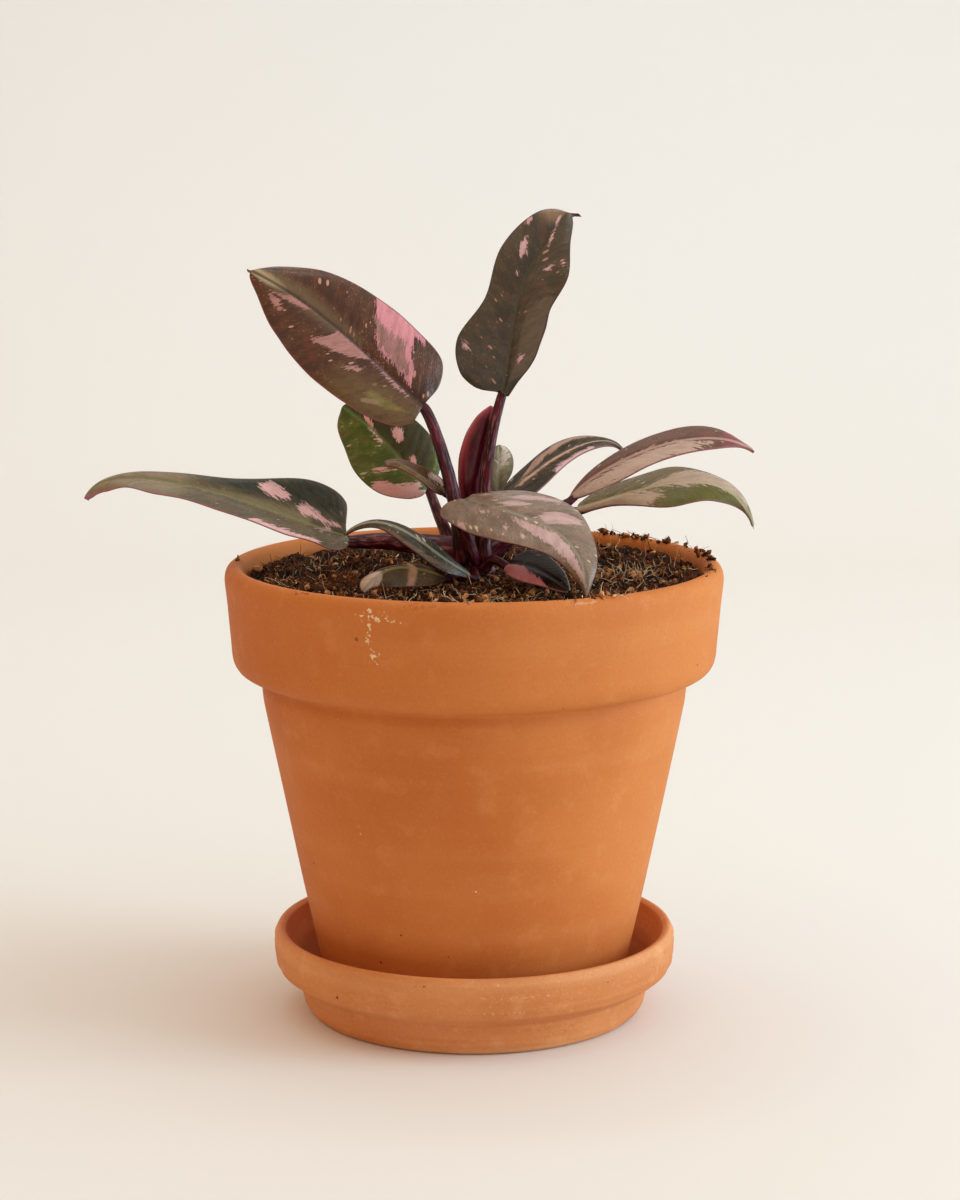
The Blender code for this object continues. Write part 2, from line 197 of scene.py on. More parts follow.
# %% Camera
CAMERA_PLACE = (0.0, -0.9213, 0.2948)
CAMERA_DOWN = 9.853
CAMERA_TURN = -0.116
LENS = 87.1

camera = bpy.data.objects.new("camera", bpy.data.cameras.new("camera"))
bpy.context.scene.collection.objects.link(camera)
camera.location = CAMERA_PLACE
camera.rotation_euler = (math.radians(90 - CAMERA_DOWN), 0.0, math.radians(CAMERA_TURN))
camera.data.lens = LENS
camera.data.sensor_width = 36.0
camera.data.clip_start = 0.01
bpy.context.scene.camera = camera
print("camera at", CAMERA_PLACE)

# %% [markdown]
# ## Clay pot
#
# The pot was pressed in a mould and fired once: it is terracotta, a porous earthenware with no glaze.
# A shape like this is a profile turned round an axis. The profile is listed from the lip down the
# outside and up the inside, and its corners are eased, so that the edges are as soft as those of a
# real pot. Points lie close together where the profile turns and far apart where it is straight,
# which keeps the mesh light.

# %% Turn a profile round the axis
EASED = 7
TURN_PER_POINT = 0.13
WARP_CELL, RIPPLE_CELL, RIPPLE_SHARE = 38.0, 9.0, 0.25


def rounded(profile, step, widest):
    """Points on a polyline eased over a few steps: one for each 0.13 radians of turn or widest mm."""
    line = np.array(profile, float)
    lengths = np.concatenate([[0], np.cumsum(np.linalg.norm(np.diff(line, axis=0), axis=1))])
    along = np.arange(0, lengths[-1], step)
    fine = np.stack([np.interp(along, lengths, line[:, k]) for k in range(2)], -1)
    bell = np.hanning(EASED + 2)
    kernel = bell[1:-1] / bell.sum()
    half = EASED // 2
    padded = np.vstack([np.repeat(fine[:1], half, 0), fine, np.repeat(fine[-1:], half, 0)])
    eased = np.stack([np.convolve(padded[:, k], kernel, "valid") for k in range(2)], -1)
    turning = np.linalg.norm(np.diff(unit(np.gradient(eased, axis=0)), axis=0), axis=1)
    measure = np.concatenate([[0], np.cumsum(step / widest + turning / TURN_PER_POINT)])
    wanted = np.linspace(0, measure[-1], int(measure[-1]) + 1)
    return np.stack([np.interp(wanted, measure, eased[:, k]) for k in range(2)], -1)


def turned(profile, steps, uneven, seed):
    """Grid of points of a turned shape: its profile goes round the axis, in and out a little by noise."""
    angle = np.arange(steps) * 2 * math.pi / steps
    radius, height = profile[:, :1], profile[:, 1:]
    points = np.stack([radius * np.cos(angle), radius * np.sin(angle), height + 0 * angle], -1)
    ripple = RIPPLE_SHARE * uneven * noise(points, RIPPLE_CELL, seed + 1)
    shift = uneven * noise(points, WARP_CELL, seed) + ripple
    points[..., :2] *= 1 + (shift / np.maximum(radius, 1.0))[..., None]
    return points


def turned_mesh(name, points):
    """A turned shape whose profile is closed: the last row joins the first, so there is no end to cap."""
    rows, columns = points.shape[:2]
    faces = grid_faces(rows, columns, True)
    seam = np.arange(columns)
    after = (seam + 1) % columns
    last = (rows - 1) * columns
    faces = np.vstack([faces, np.stack([last + seam, last + after, after, seam], -1)])
    return new_mesh(name, points.reshape(-1, 3), [faces[:, ::-1]])


# %% Pot shape
CLAY_STEP = 0.45
CLAY_UNEVEN = 0.12
POT_SIDES = 384
POT_PROFILE = [
    (73.9, 145.0), (74.6, 146.5), (76.0, 147.4), (77.6, 147.3), (79.0, 146.4), (79.8, 144.6), (80.0, 142.5),
    (79.3, 136.0), (78.7, 129.0), (78.1, 122.0), (77.9, 118.5), (77.4, 116.2), (76.2, 114.2), (74.2, 112.9),
    (71.0, 112.1), (69.0, 111.8), (67.9, 110.8), (68.1, 109.2), (68.5, 107.4), (68.0, 103.0), (64.0, 83.0),
    (59.9, 62.8), (56.0, 43.4), (51.5, 23.0), (48.7, 9.2), (48.2, 7.9), (47.1, 7.3), (44.0, 7.3),
    (30.0, 7.5), (9.6, 7.5), (9.0, 8.1),
    (9.0, 14.6), (9.6, 15.3), (30.0, 15.3), (39.0, 15.4), (42.6, 16.6), (44.6, 20.0), (50.4, 43.4),
    (58.4, 83.0), (63.4, 108.0), (65.0, 113.0), (69.6, 119.0), (72.4, 128.0), (73.2, 138.0), (73.6, 143.0),
]
pot_line = rounded(POT_PROFILE + POT_PROFILE[:1], CLAY_STEP, 3.4)[:-1]
pot_points = turned(pot_line, POT_SIDES, CLAY_UNEVEN, 3)
pot_mesh = turned_mesh("pot", pot_points)
print("pot profile of", len(pot_line), "points")

# %% [markdown]
# Terracotta is fired at a low heat and left bare, so it is matt and reflects little. Its colour drifts
# from orange to brown in large soft clouds, with faint rings left by the mould, grit, a few dark
# specks of ash and pale dots of lime. Near the rim water has carried a little white lime out of the
# clay, and wet soil has stained it: each such mark has a middle, a reach each way, a strength, a
# colour and a cover, and a fine noise breaks it into crumbs. All of these are patterns in space,
# sized in millimetres, so a scale of 1000 divided by the size gives cells a metre. Real grit is finer
# than a render can show, so it is drawn as coarse as it needs to be, at 0.9 mm.

# %% Terracotta
CLOUD, PATCH, RING, BROAD_RING, GRIT, CRUST, SPECK = 45, 8.0, 2.6, 11.0, 0.9, 1.3, 7.0


def terracotta(name, clays, rings, marks):
    """Bare fired clay: a body colour, deep and pale clouds, rings by height, grit, specks and marks."""
    made, tree, shader = new_material(name)
    body, deep, pale = clays
    place = add_node(tree, "TexCoord", output="Object")
    flattened = add_node(tree, "VectorMath", {0: place, 1: (0.06, 0.06, 1.0)}, operation="MULTIPLY")

    fields = []
    for vector, size, octaves, rough in (
        (place, CLOUD, 3.0, 0.5), (place, PATCH, 3.0, 0.6), (flattened, RING, 2.0, 0.6),
        (flattened, BROAD_RING, 1.0, 0.5), (place, GRIT, 2.0, 0.6), (place, CRUST, 2.0, 0.6),
    ):
        fields.append(add_node(tree, "TexNoise", {
            "Vector": vector, "Scale": PER_METRE / size, "Detail": octaves, "Roughness": rough}))
    clouds, patches, bands, wide, grit, crust = fields

    specks = add_node(tree, "TexVoronoi", {"Vector": place, "Scale": PER_METRE / SPECK})
    lot = add_node(tree, "SeparateColor", {0: specks.node.outputs["Color"]}).node.outputs
    size = add_node(tree, "Math", {0: lot[1], 1: 0.07}, operation="MULTIPLY")
    near = add_node(tree, "Math", {0: specks, 1: size}, operation="LESS_THAN")
    is_dark = add_node(tree, "Math", {0: lot[0], 1: 0.72}, operation="GREATER_THAN")
    is_pale = add_node(tree, "Math", {0: lot[0], 1: 0.08}, operation="LESS_THAN")
    coats = [
        (add_node(tree, "MapRange", {0: clouds, 1: 0.38, 2: 0.66, 4: 0.6}, **SOFT), deep),
        (add_node(tree, "MapRange", {0: bands, 1: 0.5, 2: 0.72, 4: 0.3 * rings}, **SOFT), deep),
        (add_node(tree, "MapRange", {0: wide, 1: 0.5, 2: 0.7, 4: 0.45 * rings}, **SOFT), pale),
        (add_node(tree, "MapRange", {0: patches, 1: 0.52, 2: 0.74, 4: 0.26}, **SOFT), pale),
        (add_node(tree, "MapRange", {0: grit, 1: 0.54, 2: 0.76, 4: 0.3}, **SOFT), deep),
        (add_node(tree, "MapRange", {0: grit, 1: 0.44, 2: 0.26, 4: 0.25}, **SOFT), pale),
        (add_node(tree, "Math", {0: near, 1: is_dark}, operation="MULTIPLY"), "#6E3018"),
        (add_node(tree, "Math", {0: near, 1: is_pale}, operation="MULTIPLY"), "#E6BE92"),
    ]
    for spot, reach, strength, tint, cover in marks:
        offset = add_node(tree, "VectorMath", {0: place, 1: tuple(np.array(spot) * MM)}, operation="SUBTRACT")
        shares = add_node(tree, "VectorMath", {0: offset, 1: tuple(np.array(reach) * MM)}, operation="DIVIDE")
        length = add_node(tree, "VectorMath", {0: shares}, 1, operation="LENGTH")
        thinned = add_node(tree, "Math", {0: length, 1: -0.2, 2: crust}, operation="MULTIPLY_ADD")
        shown = {0: thinned, 1: 0.54 - cover, 2: 0.60 - cover, 4: strength}
        coats.append((add_node(tree, "MapRange", shown, **SOFT), tint))
    colour = srgb(body)
    for share, tint in coats:
        colour = add_node(tree, "Mix", {0: share, 6: colour, 7: srgb(tint)}, 2, data_type="RGBA")
    tree.links.new(colour, shader["Base Color"])
    rough = add_node(tree, "MapRange", {0: grit, 1: 0.2, 2: 0.8, 3: 0.62, 4: 0.78})
    tree.links.new(rough, shader["Roughness"])
    shader["Specular IOR Level"].default_value = 0.3
    rise = add_node(tree, "Math", {0: bands, 1: 2.2 * rings, 2: 0.0}, operation="MULTIPLY_ADD")
    rise = add_node(tree, "Math", {0: grit, 1: 0.5, 2: rise}, operation="MULTIPLY_ADD")
    rise = add_node(tree, "Math", {0: patches, 1: 0.6, 2: rise}, operation="MULTIPLY_ADD")
    bump = add_node(tree, "Bump", {"Height": rise, "Strength": 0.4, "Distance": 0.0002})
    tree.links.new(bump, shader["Normal"])
    return made


LIME = "#F0DCB4"
STAIN = "#7A3A22"
POT_MARKS = [
    ((-29.0, -74.6, 143.2), (5.6, 9.0, 2.6), 0.85, LIME, 0.10),
    ((-31.2, -73.3, 139.6), (1.0, 9.0, 2.2), 0.8, LIME, 0.12),
    ((-24.2, -75.9, 141.4), (3.0, 9.0, 0.9), 0.6, LIME, 0.10),
    ((-35.6, -71.8, 143.6), (0.9, 4.0, 0.8), 0.8, LIME, 0.16),
    ((-31.5, -72.8, 135.8), (1.3, 9.0, 3.2), 0.75, LIME, 0.09),
    ((-30.4, -72.8, 130.0), (1.4, 9.0, 3.4), 0.8, LIME, 0.13),
    ((-28.4, -73.6, 132.4), (0.9, 9.0, 4.0), 0.5, LIME, 0.04),
    ((-34.9, -50.6, 71.6), (0.9, 9.0, 3.0), 0.3, LIME, 0.06),
    ((34.0, -72.4, 146.4), (12.0, 9.0, 0.9), 0.2, LIME, 0.10),
    ((-34.9, -71.6, 135.2), (0.6, 4.0, 0.6), 0.7, STAIN, 0.2),
    ((-52.1, -61.2, 147.0), (3.4, 8.0, 1.3), 0.7, STAIN, 0.10),
    ((-16.0, -76.5, 146.3), (24.0, 9.0, 2.4), 0.25, STAIN, 0.04),
]
clay = terracotta("terracotta_fired_clay", ("#CA7636", "#BC6427", "#D98E50"), 0.35, POT_MARKS)
add_piece("pot_fired_clay", pot_mesh, clay, ["pot"])

# %% [markdown]
# ## Saucer
#
# The saucer is the same clay, turned on a wheel and less finely finished: its lip is rolled over, and
# shallow rings and rough scraped patches run round it. It is a little paler than the pot. Two sines of
# its height cut the rings into the profile.

# %% Saucer shape
SAUCER_PROFILE = [
    (0.01, 7.0), (30.0, 7.0), (47.0, 7.0), (50.0, 7.2), (52.2, 8.6), (53.8, 11.0), (57.0, 17.0), (60.0, 22.4),
    (61.0, 25.0), (61.8, 27.0), (63.0, 28.0), (64.4, 27.5), (65.2, 25.6), (65.4, 22.6), (65.2, 18.4),
    (64.5, 15.8), (63.2, 13.9), (60.8, 12.4), (58.4, 11.3), (57.2, 9.6), (56.7, 7.0), (55.9, 3.6),
    (54.8, 1.4), (53.2, 0.15), (50.0, 0.0), (0.01, 0.0),
]
SAUCER_SIDES = 300
saucer_line = rounded(SAUCER_PROFILE, CLAY_STEP, 2.4)
saucer_reach, saucer_rise = saucer_line.T.copy()
rings = 0.12 * np.sin(saucer_rise * 2.3) + 0.07 * np.sin(saucer_rise * 5.3)
saucer_line[:, 0] += rings * smooth_step(50.0, 56.0, saucer_reach)
saucer_points = turned(saucer_line, SAUCER_SIDES, CLAY_UNEVEN, 8)
saucer_flat, saucer_faces = tube_mesh(saucer_points[::-1])
saucer_mesh = new_mesh("saucer", saucer_flat, [f[:, ::-1] for f in saucer_faces])
SAUCER_MARKS = [
    ((-34.0, -54.0, 19.0), (20.0, 14.0, 3.2), 0.3, "#D99A6C", 0.05),
    ((16.0, -62.0, 22.0), (34.0, 12.0, 1.0), 0.35, "#E6B88C", 0.06),
    ((8.0, -63.0, 17.0), (30.0, 12.0, 0.9), 0.3, "#E6B88C", 0.04),
    ((-14.0, -62.0, 25.2), (12.0, 8.0, 0.35), 0.75, "#8A4824", 0.06),
    ((30.0, -52.0, 8.0), (10.0, 12.0, 3.4), 0.3, "#8A4A26", 0.04),
]
dish_clay = terracotta("terracotta_turned_clay", ("#D68A52", "#C06F37", "#EBB27F"), 1.0, SAUCER_MARKS)
add_piece("saucer_turned_clay", saucer_mesh, dish_clay, ["saucer"])

# %% [markdown]
# ## Soil
#
# Potting soil is peat with coconut fibre: dark, lumpy and full of small crumbs and pale threads. A
# single bumpy surface would look like chocolate icing, so three things are mixed: a surface with real
# relief, loose crumbs, each a dented ball of twenty faces, and thin curled fibres. Some crumbs and
# fibres were spilt on the pot's lip when it was filled. Each point of all three carries a number that
# runs from damp to drier, because damp peat is nearly black and drier peat is tan. On the bed that
# number rises with height, so the lumps are paler and the hollows get painted shade.

# %% Soil surface
SOIL_TOP = 141.6
SOIL_EDGE = 72.4
SOIL_BOTTOM = 15.6
SOIL_SIDES = 300
SOIL_TILT = (0.006, 0.018)
CROWN = (1.0, -1.0)


def soil_height(x, y):
    """Height of the soil in mm: the measured slopes, mound and lumps, with lumps of 10, 4 and 2 mm added."""
    reach = np.hypot(x - CROWN[0], y - CROWN[1]) / 14.0
    lumps = np.sin(x / 4.1 + 1.3) * np.cos(y / 3.7) + 0.6 * np.sin(x / 7.3 - y / 5.9 + 0.5)
    flat = np.stack([x, y, np.zeros_like(x)], -1)
    crumbs = 1.6 * noise(flat, 10.0, 21) + 1.9 * np.abs(noise(flat, 4.2, 22))
    crumbs = crumbs + 1.2 * np.abs(noise(flat, 1.9, 23))
    slope = SOIL_TILT[0] * x + SOIL_TILT[1] * y
    return SOIL_TOP + slope + 0.7 * np.exp(-reach ** 2) + 0.42 * lumps + crumbs - 0.7


TOP_RINGS = 96
soil_radius = np.concatenate([np.linspace(0.3, SOIL_EDGE, TOP_RINGS), [72.3, 64.0, 44.0, 41.0, 0.3]])
soil_angle = np.arange(SOIL_SIDES) * 2 * math.pi / SOIL_SIDES
soil_x = soil_radius[:, None] * np.cos(soil_angle)
soil_y = soil_radius[:, None] * np.sin(soil_angle)
soil_z = soil_height(soil_x, soil_y)
soil_z[TOP_RINGS - 1] = soil_z[TOP_RINGS - 2]
soil_z[TOP_RINGS:] = np.array([130.0, 112.0, 20.0, SOIL_BOTTOM, SOIL_BOTTOM])[:, None]
soil_points, soil_faces = tube_mesh(np.stack([soil_x, soil_y, soil_z], -1))
height_over = soil_points[:, 2] - SOIL_TOP - soil_points[:, :2] @ np.array(SOIL_TILT)
# The bed's number rises with height: the lumps are drier and paler, and the hollows darker as painted shade.
soil_dryness_and_hollow_shade = {"dryness_and_shade": 0.5 * smooth_step(-0.4, 2.6, height_over)}
soil_mesh = new_mesh("soil", soil_points, [f[:, ::-1] for f in soil_faces], soil_dryness_and_hollow_shade)

# %% Peat
PEAT_GRAIN = 1.2


def peat(name, dark, brown, tan):
    """Peat, nearly matt: near-black where damp, brown and tan as each grain's number rises, with painted
    shade in the bed's hollows.
    """
    made, tree, shader = new_material(name)
    place = add_node(tree, "TexCoord", output="Object")
    # From damp to drier at each point, and on the bed also painted shade in the hollows.
    dryness_and_shade = add_node(tree, "Attribute", output="Fac", attribute_name="dryness_and_shade")
    fine = add_node(tree, "TexNoise", {
        "Vector": place, "Scale": PER_METRE / PEAT_GRAIN, "Detail": 3.0, "Roughness": 0.7})
    grain_dryness_and_shade = add_node(tree, "Math", {0: fine, 1: 0.7, 2: dryness_and_shade}, operation="MULTIPLY_ADD")
    colour = srgb(dark)
    for share, tint in (
        (add_node(tree, "MapRange", {0: grain_dryness_and_shade, 1: 0.45, 2: 0.95}, **SOFT), brown),
        (add_node(tree, "MapRange", {0: grain_dryness_and_shade, 1: 0.98, 2: 1.28}, **SOFT), tan),
    ):
        colour = add_node(tree, "Mix", {0: share, 6: colour, 7: srgb(tint)}, 2, data_type="RGBA")
    tree.links.new(colour, shader["Base Color"])
    shader["Roughness"].default_value = 0.85
    shader["Specular IOR Level"].default_value = 0.15
    bump = add_node(tree, "Bump", {"Height": fine, "Strength": 0.7, "Distance": 0.0006})
    tree.links.new(bump, shader["Normal"])
    return made


peat_dark = peat("peat_potting_soil", "#1B0B03", "#532B14", "#B67844")
add_piece("soil_peat_bed", soil_mesh, peat_dark, ["soil"])

# %% Crumbs of peat
def ball():
    """Points and faces of an icosahedron of radius one, from three golden rectangles."""
    g = (1 + 5 ** 0.5) / 2
    base = np.array([(-1, g, 0), (1, g, 0), (-1, -g, 0), (1, -g, 0), (0, -1, g), (0, 1, g),
                     (0, -1, -g), (0, 1, -g), (g, 0, -1), (g, 0, 1), (-g, 0, -1), (-g, 0, 1)], float)
    faces = np.array([(0, 11, 5), (0, 5, 1), (0, 1, 7), (0, 7, 10), (0, 10, 11), (1, 5, 9), (5, 11, 4),
                      (11, 10, 2), (10, 7, 6), (7, 1, 8), (3, 9, 4), (3, 4, 2), (3, 2, 6), (3, 6, 8),
                      (3, 8, 9), (4, 9, 5), (2, 4, 11), (6, 2, 10), (8, 6, 7), (9, 8, 1)])
    return base / np.linalg.norm(base[0]), faces


def scattered_crumbs(centres, sizes, seed):
    """Dented balls: each point of each ball is pushed in or out at random, then stretched and turned."""
    dice = np.random.default_rng(seed)
    base, faces = ball()
    count = len(centres)
    dents = dice.uniform(0.55, 1.3, (count, len(base), 1))
    stretch = dice.uniform(0.4, 1.5, (count, 1, 3))
    turn = np.linalg.qr(dice.normal(size=(count, 3, 3)))[0]
    turn *= np.sign(np.linalg.det(turn))[:, None, None]
    points = np.einsum("nij,nvj->nvi", turn, base * dents * stretch) * sizes[:, None, None] + centres[:, None]
    numbered = faces[None] + np.arange(count)[:, None, None] * len(base)
    return points.reshape(-1, 3), numbered.reshape(-1, 3)


def dryness_at(x, y):
    """How much drier the top is: three bell curves, where it is driest, at the right and in front of the
    crown.
    """
    spots = ((50.0, 2.0, 17.0, 15.0), (26.0, -62.0, 22.0, 7.0), (4.0, -40.0, 16.0, 9.0))
    return sum(np.exp(-((x - u) / a) ** 2 - ((y - v) / b) ** 2) for u, v, a, b in spots)


# Heaps on the lip: the angle round it in degrees, the spread of the heap and how many crumbs it has.
RIM_CRUMBS = ((53.6, 5.0, 26), (43.5, 4.0, 30), (32.6, 2.5, 16), (20.2, 5.0, 12), (9.1, 4.0, 20),
              (-12.5, 6.0, 22), (180.0, 2.0, 3), (297.0, 6.0, 12), (304.0, 3.0, 12), (270.0, 20.0, 6))
LIP_MIDDLE, LIP_INNER, LIP_OUTER, LIP_TOP = 76.5, 74.8, 78.2, 147.2
CRUMBS = 5000
BALL_POINTS = 12


def on_disc(dice, count, radius):
    """Random places spread evenly over a disc: the square root of the draw gives the reach."""
    reach = radius * np.sqrt(dice.random(count))
    angle = dice.random(count) * 2 * math.pi
    return reach * np.cos(angle), reach * np.sin(angle)


dice = np.random.default_rng(5)
crumb_x, crumb_y = on_disc(dice, CRUMBS, SOIL_EDGE - 1.0)
crumb_size = 0.24 + 1.1 * dice.random(CRUMBS) ** 4
crumb_z = soil_height(crumb_x, crumb_y) + 0.35 * crumb_size
rim_angle = np.radians(np.concatenate([dice.normal(*heap) for heap in RIM_CRUMBS]))
rim_reach = dice.uniform(LIP_INNER, LIP_OUTER, len(rim_angle))
rim_size = 0.2 + 1.1 * dice.random(len(rim_angle)) ** 2.5
rim_z = LIP_TOP + 0.6 * rim_size - 0.12 * (rim_reach - LIP_MIDDLE) ** 2
rim_x, rim_y = rim_reach * np.cos(rim_angle), rim_reach * np.sin(rim_angle)
crumb_place = np.vstack([np.stack([crumb_x, crumb_y, crumb_z], -1), np.stack([rim_x, rim_y, rim_z], -1)])
crumb_points, crumb_faces = scattered_crumbs(crumb_place, np.concatenate([crumb_size, rim_size]), 6)
crumb_dry = 0.2 + 0.7 * dice.random(len(crumb_place)) ** 2.0 + 0.45 * dryness_at(*crumb_place.T[:2])
crumb_mesh = new_mesh("crumbs", crumb_points, [crumb_faces], {"dryness_and_shade": np.repeat(crumb_dry, BALL_POINTS)})
crumb_mesh.polygons.foreach_set("use_smooth", np.zeros(len(crumb_faces), bool))
peat_light = peat("peat_dry_crumbs", "#261004", "#703E1E", "#DC9E68")
add_piece("soil_crumbs", crumb_mesh, peat_light, ["soil"])

# %% Coconut fibres
JOINTS, SIDES = 7, 3


def fibres(roots, heading, lengths, radii, seed, lift):
    """Threads of three sides and seven joints: each joint steps along a heading that drifts at random."""
    dice = np.random.default_rng(seed)
    count, joints = len(roots), JOINTS
    turns = np.cumsum(dice.normal(0, 0.45, (count, joints)), 1) + heading[:, None]
    slopes = np.clip(np.cumsum(dice.normal(0, 0.28, (count, joints)), 1) + lift[:, None], -0.5, 1.3)
    step = np.stack([np.cos(turns) * np.cos(slopes), np.sin(turns) * np.cos(slopes), np.sin(slopes)], -1)
    share = (lengths / joints)[:, None, None]
    line = roots[:, None] + np.cumsum(step * share, 1) - step[:, :1] * share
    side = np.cross(step, (0.0, 0.0, 1.0)) + 1e-6
    side /= np.linalg.norm(side, axis=-1, keepdims=True)
    up = np.cross(side, step)
    thin = radii[:, None] * np.linspace(1, 0.35, joints)
    angle = np.arange(SIDES) * 2 * math.pi / SIDES
    ring = side[:, :, None] * np.cos(angle)[:, None] + up[:, :, None] * np.sin(angle)[:, None]
    points = line[:, :, None] + ring * thin[:, :, None, None]
    quads = grid_faces(joints, SIDES, True)
    total = joints * SIDES
    ends = np.array([(2, 1, 0), (total - 3, total - 2, total - 1)])
    shift = (np.arange(count) * total)[:, None, None]
    return points.reshape(-1, 3), [(quads[None] + shift).reshape(-1, 4), (ends[None] + shift).reshape(-1, 3)]


FIBRES = 3600
fibre_x, fibre_y = on_disc(dice, FIBRES, SOIL_EDGE - 2.0)
fibre_z = soil_height(fibre_x, fibre_y) + 0.2
stray_turn = rim_angle[::3]
stray_x, stray_y = LIP_MIDDLE * np.cos(stray_turn), LIP_MIDDLE * np.sin(stray_turn)
stray_z = LIP_TOP + 0.4 + 0 * stray_x
fibre_roots = np.vstack([np.stack([fibre_x, fibre_y, fibre_z], -1),
                         np.stack([stray_x, stray_y, stray_z], -1)])
fibre_count = len(fibre_roots)
fibre_dry = 0.1 + 0.9 * dice.random(fibre_count) ** 1.3 + 0.6 * dryness_at(*fibre_roots.T[:2])
fibre_heading = dice.random(fibre_count) * 6.3
fibre_length = 1.2 + 6.5 * dice.random(fibre_count) ** 1.5
fibre_radius = 0.09 + 0.17 * dice.random(fibre_count) ** 2
fibre_lift = dice.uniform(-0.1, 0.7, fibre_count)
fibre_points, fibre_faces = fibres(fibre_roots, fibre_heading, fibre_length, fibre_radius, 12, fibre_lift)
fibre_mesh = new_mesh("fibres", fibre_points, fibre_faces, {"dryness_and_shade": np.repeat(fibre_dry, JOINTS * SIDES)})
coir = peat("coconut_fibre", "#46240F", "#A5683A", "#FADCB0")
add_piece("soil_fibres", fibre_mesh, coir, ["soil"])

# %% [markdown]
# ## Leaf blades
#
# Each leaf follows its measured midrib, with its own width at six stations on each side, the angle at
# which its halves fold up, and the small lobes where it joins its stalk. The measured blade is a
# plain sheet 0.7 mm thick. Here the same sheet gets a midrib that is sunk above and raised below,
# side veins that quilt the surface, margins that wave a little, a thinner edge, and on some leaves
# the thin drip tip that sheds rain in the wet forests where such plants grow.

